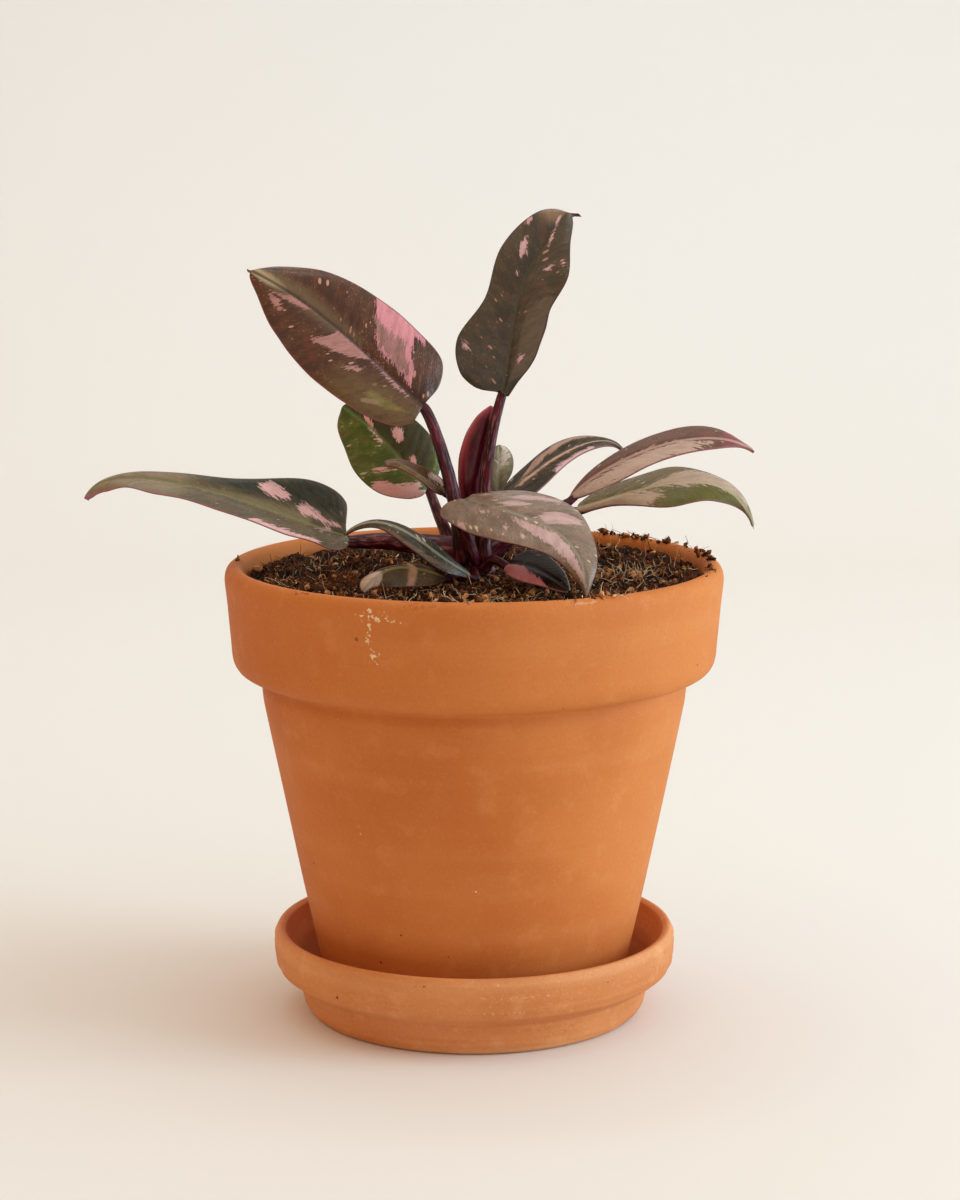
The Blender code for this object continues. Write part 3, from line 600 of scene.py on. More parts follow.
# %% Measured leaves
LEAVES = {
    "leaf_upper_left": {
        "midrib": ((-17, -4, 199), (-34, -6, 214), (-47, -4, 229), (-71, 6, 240)),
        "face": (0.15, -0.9, 0.4), "fold": (6, 6), "lobe": (2.0, 2.0),
        "left": (6, 12.5, 17, 18, 14, 5.5), "right": (8.5, 16, 17.6, 17, 13.5, 6.5),
        "stalk": ((-3, -5, 148), (-6, -6, 174), 2.6, 1.7),
    },
    "leaf_top": {
        "midrib": ((9, -2, 203), (13, -6, 223), (10.5, -4, 236), (29.5, 0, 258.6)),
        "face": (-0.1, -0.95, 0.25), "fold": (6, 32), "lobe": (2.0, 2.0),
        "left": (8, 14.5, 16.8, 10.5, 11.5, 8), "right": (1.5, 4, 10.5, 12, 14.5, 6),
        "stalk": ((3, -5, 148), (2, -5, 184), 2.4, 1.5),
    },
    "leaf_long_left": {
        "midrib": ((-42, 2, 155.5), (-50, 1, 157), (-113, -3, 187), (-124, -4, 169)),
        "face": (0.1, -0.6, 0.8), "fold": (28, 20), "lobe": (2.0, 0.5),
        "left": (3, 10, 13, 11, 7.5, 2), "right": (5, 12.5, 15.5, 6.4, 3, 1.2),
        "stalk": ((-2, 0, 149), (-22, 2, 156), 4.4, 2.0),
    },
    "leaf_round_back": {
        "midrib": ((-16, 14, 170), (-24, 14, 179), (-32, 18, 189), (-43, 22, 195)),
        "face": (0.1, -0.95, 0.25), "fold": (4, 4), "lobe": (2.0, 1.5),
        "left": (2, 7.5, 13, 14, 10.5, 6.5), "right": (2.5, 8, 12, 12, 9.5, 5),
        "stalk": ((-4, 2, 147), (-12, 5, 160), 2.4, 1.4),
    },
    "leaf_small_curled": {
        "midrib": ((-9, 1, 170), (-14, 0, 174), (-22, -4, 181), (-28, -7, 180)),
        "face": (0.1, -0.6, 0.8), "fold": (20, 50), "lobe": (0.0, 0.0),
        "left": (1, 3, 5.5, 4.5, 3, 1), "right": (1, 2, 2.5, 2, 1.5, 1),
        "stalk": ((-4, 0, 150), (-7, 0, 161), 1.7, 1.0),
    },
    "leaf_front_narrow": {
        "midrib": ((-1, -16, 145.8), (-12, -23, 151), (-26, -20, 171), (-41, -9, 158)),
        "face": (0.1, -0.6, 0.8), "fold": (5, 5), "lobe": (0.0, 0.0),
        "left": (1, 2.2, 5, 4.3, 2, 1), "right": (1, 2.4, 3, 2.7, 2.2, 1.2),
        "stalk": ((0, -5, 145.6), (0, -10, 145.4), 1.9, 1.0),
    },
    "leaf_low_left": {
        "midrib": ((-9, -20, 145.9), (-16, -28, 149), (-26, -39, 156.5), (-34, -44, 145)),
        "face": (0.1, -0.75, 0.65), "fold": (-8, -8), "lobe": (0.5, 0.5),
        "left": (1, 2, 5, 6.5, 5.5, 1.5), "right": (1, 3, 3.4, 1.6, 2, 3.2),
        "stalk": ((-1, -5, 145.5), (-5, -13, 145.6), 1.7, 1.0),
    },
    "leaf_front_arched": {
        "midrib": ((-2, -14, 169.5), (8, -28, 167.5), (36, -45, 168.5), (34, -52, 145)),
        "face": (0.0, -0.3, 0.95), "fold": (4, -8), "lobe": (2.5, 5.0),
        "left": (5, 11.5, 16, 15, 8, 2.5), "right": (7, 11, 14, 13, 7, 3),
        "stalk": ((0, -5, 148), (-2, -11, 156), 2.2, 1.4),
    },
    "leaf_low_right": {
        "midrib": ((11, -14, 149), (17, -23, 151), (23, -35, 149), (29, -41, 145)),
        "face": (0.1, -0.8, 0.6), "fold": (0, 0), "lobe": (1.0, 1.0),
        "left": (2.5, 6.5, 8, 6.5, 4.5, 2), "right": (2.5, 3.5, 6, 6.5, 4, 2),
        "stalk": ((3, -5, 146), (6, -7, 152), 2.0, 1.2),
    },
    "leaf_striped": {
        "midrib": ((10, 10, 167.5), (20, 18, 177), (42, 27, 190), (49, 29, 180)),
        "face": (0, -0.8, 0.6), "fold": (5, 5), "lobe": (1.0, 1.0),
        "left": (1, 2.5, 3.2, 4.1, 1.5, 0.8), "right": (3, 6, 6.4, 4, 2.4, 1),
        "stalk": ((4, 1, 147), (9, 6, 160), 1.9, 1.2),
    },
    "leaf_right_upper": {
        "midrib": ((32, 9, 168), (44, 16, 179), (74, 20, 191), (91, 21, 181)),
        "face": (-0.2, -0.6, 0.8), "fold": (4, 4), "lobe": (1.0, 1.0),
        "left": (0.8, 2, 4.3, 6.1, 6.2, 1.8), "right": (1, 4, 7.4, 6.4, 4.6, 1),
        "stalk": ((4, 0, 149), (16, 5, 162), 2.2, 1.3),
    },
    "leaf_right_lower": {
        "midrib": ((33, -3, 165.5), (41, -10, 167), (81, -14, 188), (88, -15, 161)),
        "face": (-0.2, -0.5, 0.9), "fold": (-5, -5), "lobe": (1.0, 1.0),
        "left": (2, 7, 8.7, 10.6, 5.4, 1.5), "right": (1, 2.2, 3, 10, 5.8, 1),
        "stalk": ((4, -3, 149), (15, -3, 159), 2.2, 1.3),
    },
    "leaf_small_back": {
        "midrib": ((8, 18, 167), (7, 19, 172), (9, 23, 177), (8, 26, 182)),
        "face": (0, -0.9, 0.3), "fold": (5, 5), "lobe": (0.0, 0.0),
        "left": (1, 2, 3.5, 4.2, 3.6, 2.2), "right": (1, 1.6, 3, 4.5, 4.4, 2.6),
        "stalk": ((2, 3, 146), (6, 12, 156), 1.6, 1.0),
    },
}

# %% Curves along the midrib
BLADE_TIP = 0.45
SMALL_STEP = 1e-4


def bezier(corners, s):
    """Cubic curve: the corners weighted by (1-s)^3, 3(1-s)^2 s, 3(1-s)s^2 and s^3."""
    a, b, c, d = np.array(corners, float)
    s = np.asarray(s, float)[:, None]
    t = 1 - s
    return t ** 3 * a + 3 * t ** 2 * s * b + 3 * t * s ** 2 * c + s ** 3 * d


def midrib_frame(leaf, s):
    """Midrib points, with the directions along it, out of the upper side and across it."""
    spine = bezier(leaf["midrib"], s)
    ahead, behind = np.clip(s + SMALL_STEP, 0, 1), np.clip(s - SMALL_STEP, 0, 1)
    along = unit(bezier(leaf["midrib"], ahead) - bezier(leaf["midrib"], behind))
    face = np.array(leaf["face"], float)
    out = unit(face - along * (along @ face)[:, None])
    return spine, along, out, np.cross(along, out)


def half_width(widths, x):
    """Smooth curve through the half-widths, with x from 0 at the joint to 1 at the tip."""
    knots = np.array([widths[0], *widths, BLADE_TIP, -0.3 * widths[-1]])
    place = np.clip(x * len(widths), 0, len(widths) - 1e-6)
    i = place.astype(int)
    f = place - i
    a, b, c, d = knots[i], knots[i + 1], knots[i + 2], knots[i + 3]
    bend = (2 * a - 5 * b + 4 * c - d) * f ** 2 + (3 * b - a - 3 * c + d) * f ** 3
    return 0.5 * (2 * b + (c - a) * f + bend)


# %% [markdown]
# Every point of a blade also carries numbers for its colours: how far it lies along its side vein and
# from the midrib, how far it is inside each patch of colour, how near the margin it is, and which
# side of the leaf it is on. A patch is an outline given in shares of the leaf: from joint to tip in
# hundredths, following the side veins, and from the left margin at -1 to the right margin at 1.

# %% Distance inside an outline
def inside_distance(points, outline):
    """Distance in mm to the nearest side of a closed outline, positive inside and negative outside."""
    start = outline[None]
    end = np.roll(outline, -1, 0)[None]
    edge = end - start
    offset = points[:, None] - start
    share = np.clip((offset * edge).sum(-1) / (edge ** 2).sum(-1), 0, 1)
    distance = np.linalg.norm(offset - edge * share[..., None], axis=-1).min(1)
    above = points[:, None, 1] >= start[..., 1]
    crosses = above != (points[:, None, 1] >= end[..., 1])
    where = start[..., 0] + edge[..., 0] * offset[..., 1] / np.where(edge[..., 1] == 0, 1.0, edge[..., 1])
    odd = (crosses & (points[:, None, 0] < where)).sum(1) % 2 == 1
    return np.where(odd, distance, -distance)


# %% Blade surface
VEIN_SLANT = 0.6
DRIP_FROM, DRIP_PINCH = 0.9965, 0.76
TAPER_FROM, TAPER_TO = 0.76, 0.95
EDGE_THICK, MORE_INSIDE = 0.16, 0.12
NARROWEST = 0.12


def blade_mesh(name, leaf, look, seed):
    """A closed blade: its grid of points runs over the upper side and back under, with their numbers."""
    rows, half = look["cells"]
    x = np.linspace(0, 1, rows + 1)
    s = 0.5 - 0.5 * np.cos(np.pi * x)
    spine, along, out, across = midrib_frame(leaf, s)
    length = np.linalg.norm(np.diff(bezier(leaf["midrib"], np.linspace(0, 1, 60)), axis=0), axis=1).sum()
    v_top = np.linspace(-1, 1, half + 1)
    v_top = np.sign(v_top) * np.abs(v_top) ** 0.9
    v = np.concatenate([v_top, v_top[::-1]])[None]
    under = np.concatenate([np.zeros(half + 1), np.ones(half + 1)])[None] + 0 * x[:, None]
    left = v < 0
    width = np.where(left, half_width(leaf["left"], x)[:, None], half_width(leaf["right"], x)[:, None])
    thread = smooth_step(DRIP_FROM, 1.0, s) ** 1.5
    pinch = DRIP_PINCH if any(look["drip"]) else 0.0
    width = width * (1 - look["taper"] * smooth_step(TAPER_FROM, TAPER_TO, x))[:, None]
    width = width * (1 - pinch * smooth_step(0.0, 0.15, thread))[:, None]
    width = np.maximum(width, NARROWEST)
    fold = np.radians(np.where(left, *leaf["fold"]))
    lobe = np.where(left, *leaf["lobe"])
    reach = np.abs(v)
    y = v * width
    ridge = s[:, None] * length - VEIN_SLANT * np.abs(y)
    free = smooth_step(0, 2.2, (1 - reach) * width) * smooth_step(0, 0.04, x)[:, None]
    flat = np.stack([ridge + 0 * y, y, np.full_like(y, seed * 7.0)], -1)
    quilt = look["quilt"] * np.cos(2 * math.pi * ridge / look["spacing"] + 0.8 * noise(flat, 9.0, seed))
    quilt = quilt * smooth_step(0.5, 3.0, np.abs(y)) * free
    edge = np.stack([s[:, None] * length + 0 * y, np.sign(y) * 20.0, np.full_like(y, seed * 5.0)], -1)
    away_from_ends = (smooth_step(0, 0.1, x) * smooth_step(1, 0.9, x))[:, None]
    wave = look["wave"] * reach ** 3 * noise(edge, 8.5, seed + 40) * away_from_ends
    swell = 0.35 * look["wave"] * noise(flat, 14.0, seed + 80) * free
    rib = (0.30 - 0.18 * s[:, None]) * np.exp(-(y / (1.1 - 0.6 * s[:, None])) ** 2)
    thick = EDGE_THICK + MORE_INSIDE * free
    roll = -np.where(left, *look["roll"]) * reach ** 2.5
    lift = np.where(under > 0.5, -thick - 2.0 * rib, thick - 1.5 * rib) + quilt + wave + swell + roll
    side = y * np.cos(fold)
    rise = reach * width * np.sin(fold)
    back = lobe * (1 - s[:, None]) ** 5 * (1 - (1 - reach) ** 2)
    normal = out[:, None] * np.cos(fold)[..., None] - across[:, None] * (np.sign(v) * np.sin(fold))[..., None]
    points = (spine[:, None] + across[:, None] * side[..., None] + out[:, None] * rise[..., None]
              - along[:, None] * back[..., None] + normal * lift[..., None])
    points += np.array(look["drip"], float) * thread[:, None, None]
    flat_points, faces = tube_mesh(points)

    def spread(values):
        ends = np.array([values[0].mean(0), values[-1].mean(0)])
        return np.concatenate([values.reshape(-1, *values.shape[2:]), ends])

    mean_width = np.mean([np.mean(leaf["left"]), np.mean(leaf["right"])])
    slant = look["slant"]
    size = math.hypot(1, slant)
    across_veins = (s[:, None] * length - slant * np.abs(y)) / size
    down_veins = (np.abs(y) + slant * s[:, None] * length) / size
    fields = {"vein": spread(np.stack([across_veins, down_veins, 1.0 * left + 2.0 * under], -1)),
              "offset": spread(y), "under": spread(under), "rim": spread((1 - reach) * width + 0 * y)}
    flat_place = spread(np.stack([100 * ridge / length + 0 * y, v + 0 * y], -1))
    scale = np.array([length / 100, mean_width])
    for number, (*_, outlines) in enumerate(look["patches"]):
        distances = [inside_distance(flat_place * scale, np.array(o, float) * scale) for o in outlines]
        fields[f"patch_{number}"] = np.max(distances, axis=0)
    return new_mesh(name, flat_points, faces, fields)


# %% [markdown]
# ## Leaf colours
#
# The pink of this plant is a chimera: some cells hold chlorophyll and others none, and a patch grows
# out from the midrib along the side veins. So its edges are brushed along the veins, with fine
# streaks and freckles, instead of smooth. The dark parts are green cells under a layer of red ones,
# which together look brown, olive or nearly black. The skin is a thin wax, which gives a soft gloss
# with a roughness near 0.3. All its patterns read the blade's own numbers, in mm across and along the
# side veins, so they turn with the leaf.

# %% Leaf material
def leaf_material(name, look, seed):
    """Leaf skin: ground colours in clouds, brushed patches, flecks, midrib, margins and underside."""
    made, tree, shader = new_material(name)
    vein = add_node(tree, "Attribute", output="Vector", attribute_name="vein")
    rim = add_node(tree, "Attribute", output="Fac", attribute_name="rim")
    offset = add_node(tree, "Attribute", output="Fac", attribute_name="offset")
    under = add_node(tree, "Attribute", output="Fac", attribute_name="under")
    away = add_node(tree, "Math", {0: offset}, operation="ABSOLUTE")
    is_right = add_node(tree, "Math", {0: offset, 1: 0.0}, operation="GREATER_THAN")

    noises = []
    for across, along, octaves in ((0.6, 5.5, 3.0), (4.5, 9.0, 3.0), (0.4, 1.0, 2.0), (2.0, 7.0, 3.0)):
        stretched = add_node(tree, "VectorMath", {0: vein, 1: (1 / across, 1 / along, 3.0),
                                                  2: (9.7 * seed, 0.0, 0.0)}, operation="MULTIPLY_ADD")
        noises.append(add_node(tree, "TexNoise", {"Vector": stretched, "Scale": 1.0, "Detail": octaves,
                                                  "Roughness": 0.6}))
    streak, cloud, freckle, smear = noises

    cells = add_node(tree, "VectorMath", {0: vein, 1: (1 / 1.2, 1 / 3.2, 3.0), 2: (3.1 * seed, 0.0, 0.0)},
                     operation="MULTIPLY_ADD")
    flecks = add_node(tree, "TexVoronoi", {"Vector": cells, "Scale": 1.0})
    lot = add_node(tree, "SeparateColor", {0: flecks.node.outputs["Color"]}).node.outputs
    reach = add_node(tree, "Math", {0: lot[0], 1: 5.0}, operation="POWER")
    reach = add_node(tree, "Math", {0: reach, 1: 0.42 * look["flecks"] ** 0.5}, operation="MULTIPLY")
    inner = add_node(tree, "Math", {0: reach, 1: flecks}, operation="SUBTRACT")
    fleck = add_node(tree, "MapRange", {0: inner, 1: -0.03, 2: 0.05}, **SOFT)
    dust = add_node(tree, "MapRange", {0: freckle, 1: 0.60, 2: 0.68, 4: 0.6 * look["flecks"]}, **SOFT)
    dusty = add_node(tree, "MapRange", {0: cloud, 1: 0.45, 2: 0.6}, **SOFT)
    dust = add_node(tree, "Math", {0: dust, 1: dusty}, operation="MULTIPLY")

    ground = look["ground"]
    coats = [
        (add_node(tree, "MapRange", {0: cloud, 1: 0.40, 2: 0.60}, **SOFT), ground[1]),
        (add_node(tree, "MapRange", {0: smear, 1: 0.50, 2: 0.68, 4: 0.75}, **SOFT), ground[2]),
        (add_node(tree, "MapRange", {0: streak, 1: 0.52, 2: 0.74, 4: 0.35}, **SOFT), ground[3]),
        (dust, look["fleck"]),
        (fleck, look["fleck"]),
    ]
    for number, (tint, deeper, feather, soft, _) in enumerate(look["patches"]):
        inside = add_node(tree, "Attribute", output="Fac", attribute_name=f"patch_{number}")
        for noise_field, strength in ((streak, 20.0), (freckle, 8.0), (smear, 12.0)):
            centred = add_node(tree, "Math", {0: noise_field, 1: 0.5}, operation="SUBTRACT")
            inside = add_node(tree, "Math", {0: centred, 1: strength * feather, 2: inside},
                              operation="MULTIPLY_ADD")
        share = add_node(tree, "MapRange", {0: inside, 1: -soft, 2: soft}, **SOFT)
        coats.append((share, tint))
        deep = add_node(tree, "MapRange", {0: smear, 1: 0.42, 2: 0.66, 4: 0.8}, **SOFT)
        coats.append((add_node(tree, "Math", {0: share, 1: deep}, operation="MULTIPLY"), deeper))
    coats += [
        (add_node(tree, "MapRange", {0: streak, 1: 0.6, 2: 0.8, 4: 0.3}, **SOFT), ground[0]),
        (add_node(tree, "MapRange", {0: away, 1: 0.75, 2: 0.3, 4: look["rib"][1]}, **SOFT), look["rib"][0]),
    ]
    edge = add_node(tree, "MapRange", {0: rim, 1: 0.45, 2: 0.1, 4: 0.8}, **SOFT)
    coats.append((edge, look["margins"][0]))
    coats.append((add_node(tree, "Math", {0: edge, 1: is_right}, operation="MULTIPLY"), look["margins"][1]))
    below, hiding = look["below"]
    coats.append((add_node(tree, "Math", {0: under, 1: hiding}, operation="MULTIPLY"), below))

    colour = srgb(ground[0])
    for share, tint in coats:
        colour = add_node(tree, "Mix", {0: share, 6: colour, 7: srgb(tint)}, 2, data_type="RGBA")
    tree.links.new(colour, shader["Base Color"])
    rough = add_node(tree, "MapRange", {0: cloud, 1: 0.3, 2: 0.7,
                                        3: look["rough"] - 0.05, 4: look["rough"] + 0.07})
    tree.links.new(rough, shader["Roughness"])
    shader["Specular IOR Level"].default_value = look["shine"]
    rise = add_node(tree, "Math", {0: streak, 1: 0.8, 2: freckle}, operation="MULTIPLY_ADD")
    bump = add_node(tree, "Bump", {"Height": rise, "Strength": 0.45, "Distance": 0.00025})
    tree.links.new(bump, shader["Normal"])
    return made


# %% [markdown]
# Each leaf's look is written down next. Its ground is four colours, from the deepest to the palest.
# Then come the margins left and right, the midrib and the underside with how far each hides what is
# below it, and the flecks. A patch has a colour, a deeper one for its streaks, how far it is brushed,
# how soft its edge is in mm, and its outlines. Slant is how far the side veins lean to the tip, roll
# is how far each margin turns down in mm, and drip is where the thin tip reaches in mm.

# %% Colours and patches of each leaf
LOOKS = {
    "leaf_upper_left": {
        "ground": ("#452719", "#54321B", "#67321C", "#744E26"), "margins": ("#9A4A4C", "#6A3A38"),
        "rib": ("#3E2A28", 0.7), "below": ("#5A2A2A", 0.85), "fleck": "#BE8A74", "flecks": 1.0,
        "roll": (1.0, 4.0), "drip": (-1.2, 0, 0.6),
        "patches": [
            # This pale olive band along the midrib towards the tip is partly the leaf's own paler stripe and
            # partly painted sheen.
            ("#756049", "#695740", 0.06, 3.0, [
                [(100, 0.5), (84, 0.35), (60, 0.16), (40, 0.06), (40, -0.04), (70, -0.1),
                 (100, -0.3)]]),
            ("#B6A17F", "#A08B6C", 0.06, 2.0, [
                [(112, 0.9), (98, 0.5), (90, 0.22), (84, 0.04), (90, -0.2), (112, -0.5)]]),
            ("#664824", "#50341C", 0.5, 4.0, [
                [(-10, -1.1), (26, -1.1), (30, -0.5), (12, -0.12), (-4, -0.2)]]),
            ("#7A6A30", "#665228", 0.12, 0.8, [
                [(15, -0.5), (14, -0.64), (4, -0.66), (-1, -0.5), (6, -0.46)]]),
            ("#D88C92", "#BE787E", 0.22, 0.35, [
                [(36, 1.1), (34, 0.6), (31, 0.26), (25, 0.18), (17, 0.2), (7, 0.12), (8, 0.35),
                 (11, 0.6), (10, 0.88), (4, 0.9), (5, 1.1)]]),
            ("#B27E76", "#996962", 0.2, 0.35, [
                [(52, -0.02), (51, -0.51), (45, -0.42), (39, -0.34), (34, -0.2), (30, -0.01)],
                [(30, -0.02), (22, -0.07), (9, -0.14), (7, -0.06), (22, 0), (30, 0.02)],
                [(86, -0.37), (79, -0.05), (67, 0), (70, -0.1), (72, -0.16), (80, -0.25)],
                [(85, -0.46), (77, -0.33), (73, -0.55), (79, -0.6)],
                [(32, -0.44), (28, -0.25), (26, -0.35), (30, -0.5)]]),
            ("#A6736C", "#826152", 0.3, 0.35, [
                [(34, 0.62), (30, 0.26), (17, 0.2), (10, 0.25), (15, 0.6), (22, 0.62), (28, 0.6)]]),
            ("#907150", "#7E6241", 0.06, 0.35, [[(13, -0.76), (9, -0.58), (6, -0.66), (11, -0.8)]])]},
    "leaf_top": {
        "ground": ("#4A453D", "#574F42", "#67493D", "#6C624F"), "margins": ("#4A3430", "#5A3A38"),
        "rib": ("#565640", 0.6), "below": ("#4A2A28", 0.85), "fleck": "#B88C78", "flecks": 0.9,
        "slant": 1.0, "roll": (2.0, 1.5), "drip": (3.4, 0, -0.3),
        "patches": [
            ("#957B67", "#806957", 0.06, 1.8, [
                [(86, -1.1), (104, -1.1), (104, 0.2), (95, 0.0), (90, -0.4)]]),
            ("#706457", "#61574B", 0.05, 0.9, [
                [(6, 0.42), (22, 0.32), (44, 0.4), (50, 0.75), (46, 1.1), (6, 1.1)]]),
            ("#EABDC5", "#CDA1AA", 0.2, 0.35, [
                [(77, -0.59), (76, -0.45), (72, -0.34), (70, -0.42), (73, -0.59)],
                [(10, -0.88), (11, -0.78), (8, -0.73), (6, -0.81), (8, -0.88)],
                [(97, -0.2), (94, 0.08), (82, 0.24), (89, 0.06), (94, -0.14)],
                [(65, -0.3), (65, -0.24), (62.5, -0.25), (63, -0.31)],
                [(70, 0.42), (70.5, 0.5), (67.5, 0.5), (68, 0.43)],
                [(72, 0.76), (71, 0.86), (68, 0.84), (69, 0.75)],
                [(82, -0.96), (82.5, -0.86), (79.5, -0.86), (80, -0.95)],
                [(18, 0.46), (16, 0.62), (12, 0.56), (14, 0.46)]])]},
    "leaf_long_left": {
        "ground": ("#554C3A", "#66563C", "#735A3E", "#8F754F"), "margins": ("#A86068", "#5A4038"),
        "rib": ("#848460", 0.7), "below": ("#5A3430", 0.85), "fleck": "#B09C88", "flecks": 0.8,
        "slant": 2.2, "drip": (-0.4, 0, -0.6), "taper": 0.4,
        "patches": [
            ("#907D61", "#7E6C53", 0.1, 5.0, [[(58, -1.1), (112, -1.1), (112, 1.1), (58, 1.1)]]),
            ("#3C3B2D", "#2F2E24", 0.3, 2.5, [[(2, 0.4), (16, 0.3), (44, 0.34), (54, 1.1), (2, 1.1)]]),
            ("#998A63", "#857757", 0.12, 1.6, [
                [(20, -0.1), (45, -0.12), (75, -0.08), (75, 0.1), (45, 0.14), (20, 0.14)]]),
            ("#EEBBB8", "#D0A5A0", 0.2, 0.35, [
                [(35, 0.8), (29, 0.81), (25, 0.53), (26, 0.39), (30, 0.37), (34, 0.51)],
                [(24, 0.28), (19, 0.38), (11, 0.2), (3, 0.21), (15, 0.17), (22, 0.14)],
                [(17, -0.13), (14, 0.06), (9, 0.03), (14, -0.19)],
                [(8, -1.1), (32, -1.1), (32, -0.88), (20, -0.86), (8, -0.88)]])]},
    "leaf_round_back": {
        # This leaf's bright yellow-green ground is partly its own colour and partly painted light shining
        # through the thin blade.
        "ground": ("#54622C", "#6A7030", "#766030", "#868640"), "margins": ("#8A5A4A", "#5A4A2C"),
        "rib": ("#74884A", 0.6), "below": ("#5A5A38", 0.7), "fleck": "#C8C098", "flecks": 1.4,
        "patches": [
            ("#514B32", "#444029", 0.2, 1.5, [
                [(4, 0.1), (60, 0.02), (100, 0.1), (100, 1.1), (4, 1.1)]]),
            ("#FAC0B6", "#FAADA1", 0.2, 0.35, [
                [(8, -1.1), (14, -0.8), (9, -0.62), (8, -0.4), (5, -0.1), (-2, -0.3), (-6, -0.7),
                 (-4, -1.1)],
                [(26, 0.2), (22, 0.3), (16, 0.22), (12, 0.06), (18, 0.08), (24, 0.12)],
                [(79, 0.33), (74, 0.36), (71, 0.15), (66, 0.02), (52, -0.08), (55, -0.08), (66, -0.07),
                 (76, 0.13)],
                [(48, 0.36), (44, 0.54), (38, 0.53), (35, 0.42), (40, 0.26), (46, 0.25)],
                [(26, -0.66), (27, -0.51), (24, -0.4), (22, -0.47), (23, -0.65)]])]},
    "leaf_small_curled": {
        "ground": ("#5C3A21", "#684A27", "#776233", "#686228"), "margins": ("#8A5048", "#8A5048"),
        "rib": ("#8A6A54", 0.5), "below": ("#6A2E30", 0.85), "fleck": "#B89A88", "flecks": 0.5,
        "slant": 2.0,
        "patches": [
            # This pale patch on the right half near the joint is partly pale pink and partly painted silver
            # sheen.
            ("#F6E0D1", "#CEB9A7", 0.3, 0.35, [[(5, 0.1), (30, 0.1), (30, 1.1), (5, 1.1)]])]},
    "leaf_front_narrow": {
        "ground": ("#39392D", "#454233", "#524C3A", "#6D624D"), "margins": ("#6A4A48", "#5A4A44"),
        "rib": ("#A09A84", 0.8), "below": ("#5A3A38", 0.85), "fleck": "#C8B8A8", "flecks": 1.5,
        "slant": 2.6,
        "patches": [
            ("#816959", "#675546", 0.06, 0.4, [
                [(70, -0.75), (45, -0.75), (20, -0.6), (8, -0.4), (8, -0.62), (20, -0.85), (45, -1),
                 (70, -0.98)]])]},
    "leaf_low_left": {
        "ground": ("#38240C", "#46300E", "#523614", "#64481E"), "margins": ("#6A4A3A", "#7A5A44"),
        "rib": ("#7A6A44", 0.5), "below": ("#5A3A2C", 0.85), "fleck": "#A88A68", "flecks": 0.6,
        "slant": 1.5, "rough": 0.45, "shine": 0.12,
        "patches": [
            # The pinkish tan band across the blade at the top of its arch is a painted highlight.
            ("#A06D54", "#80573D", 0.1, 1.2, [[(36, -1.1), (46, -1.1), (44, 1.1), (38, 1.1)]]),
            ("#BCA08E", "#84685A", 0.06, 0.8, [
                [(80, 1.1), (76, 0.3), (80, -0.3), (86, -1.1), (112, -1.1), (112, 1.1)]])]},
    "leaf_front_arched": {
        "ground": ("#766354", "#88715F", "#8F6D5F", "#AD8F76"), "margins": ("#7A4E4C", "#7A5050"),
        "rib": ("#8E8A70", 0.6), "below": ("#6A4440", 0.85), "fleck": "#C8B8A2", "flecks": 1.3,
        "slant": 1.4, "taper": 0.3, "drip": (-0.2, 0, -0.8),
        "patches": [
            ("#CAA7A1", "#B28E8D", 0.2, 0.35, [
                [(34, 0.21), (42, 0.2), (48, 0.17), (56, 0.14), (63, 0.1), (71, 0.13), (80, 0.22),
                 (90, 0.2), (96, 0.16), (92, 0.55), (83, 0.65), (73, 0.7), (63, 0.63), (53, 0.52),
                 (43, 0.46), (37, 0.3)],
                [(17, -0.15), (21, -0.36), (28, -0.45), (31, -0.26), (24, -0.07)],
                [(13, -0.41), (14, -0.67), (18, -0.84), (28, -0.94), (32, -0.85), (18, -0.48)],
                [(47, -0.03), (41, -0.31), (43, -0.54), (49, -0.79), (56, -0.78), (55, -0.43),
                 (53, -0.06)],
                [(2, -0.28), (0, -0.56), (4, -0.58)],
                [(10, 0.84), (10, 0.94), (6, 0.96), (6, 0.86)],
                [(34, 0.54), (33, 0.66), (30, 0.66), (30, 0.56)],
                [(46, 0.6), (45, 0.7), (41, 0.7), (42, 0.62)],
                [(20, 0.3), (19, 0.38), (16, 0.36), (17, 0.29)]])]},
    "leaf_low_right": {
        "ground": ("#221510", "#2C1C15", "#36231B", "#40301F"), "margins": ("#8A8078", "#B06A70"),
        "rib": ("#5A4A40", 0.4), "below": ("#4A2A2A", 0.85), "fleck": "#8A7A70", "flecks": 0.4,
        "slant": 1.5, "rough": 0.35, "shine": 0.15,
        "patches": [
            ("#EE9AA4", "#DC8090", 0.15, 0.35, [
                [(-6, 0.12), (14, 0.1), (30, 0.2), (38, 0.4), (56, 0.5), (72, 0.9), (60, 1.2),
                 (-6, 1.2)]])]},
    "leaf_striped": {
        "ground": ("#3A2E20", "#4A3C2A", "#5A4A36", "#70604A"), "margins": ("#6A4A44", "#A8706C"),
        "rib": ("#4A4A38", 0.4), "below": ("#4A2A2A", 0.85), "fleck": "#A89880", "flecks": 0.5,
        "slant": 2.6,
        "patches": [
            ("#BC937D", "#9D7769", 0.08, 0.35, [
                [(8, 0.1), (14, -0.1), (20, -0.45), (28, -0.8), (45, -0.95), (60, -1.1), (90, -1.1),
                 (90, -0.6), (70, -0.75), (50, -0.6), (35, -0.35), (25, -0.1), (16, 0.05)]]),
            ("#E5B79B", "#D4A089", 0.03, 0.25, [
                [(10, 0.08), (60, 0.12), (100, 0.1), (100, 0.25), (60, 0.26), (10, 0.2)]]),
            ("#ECB9B5", "#D5A19F", 0.06, 0.35, [[(28, 0.75), (65, 0.75), (65, 1.1), (28, 1.1)]])]},
    "leaf_right_upper": {
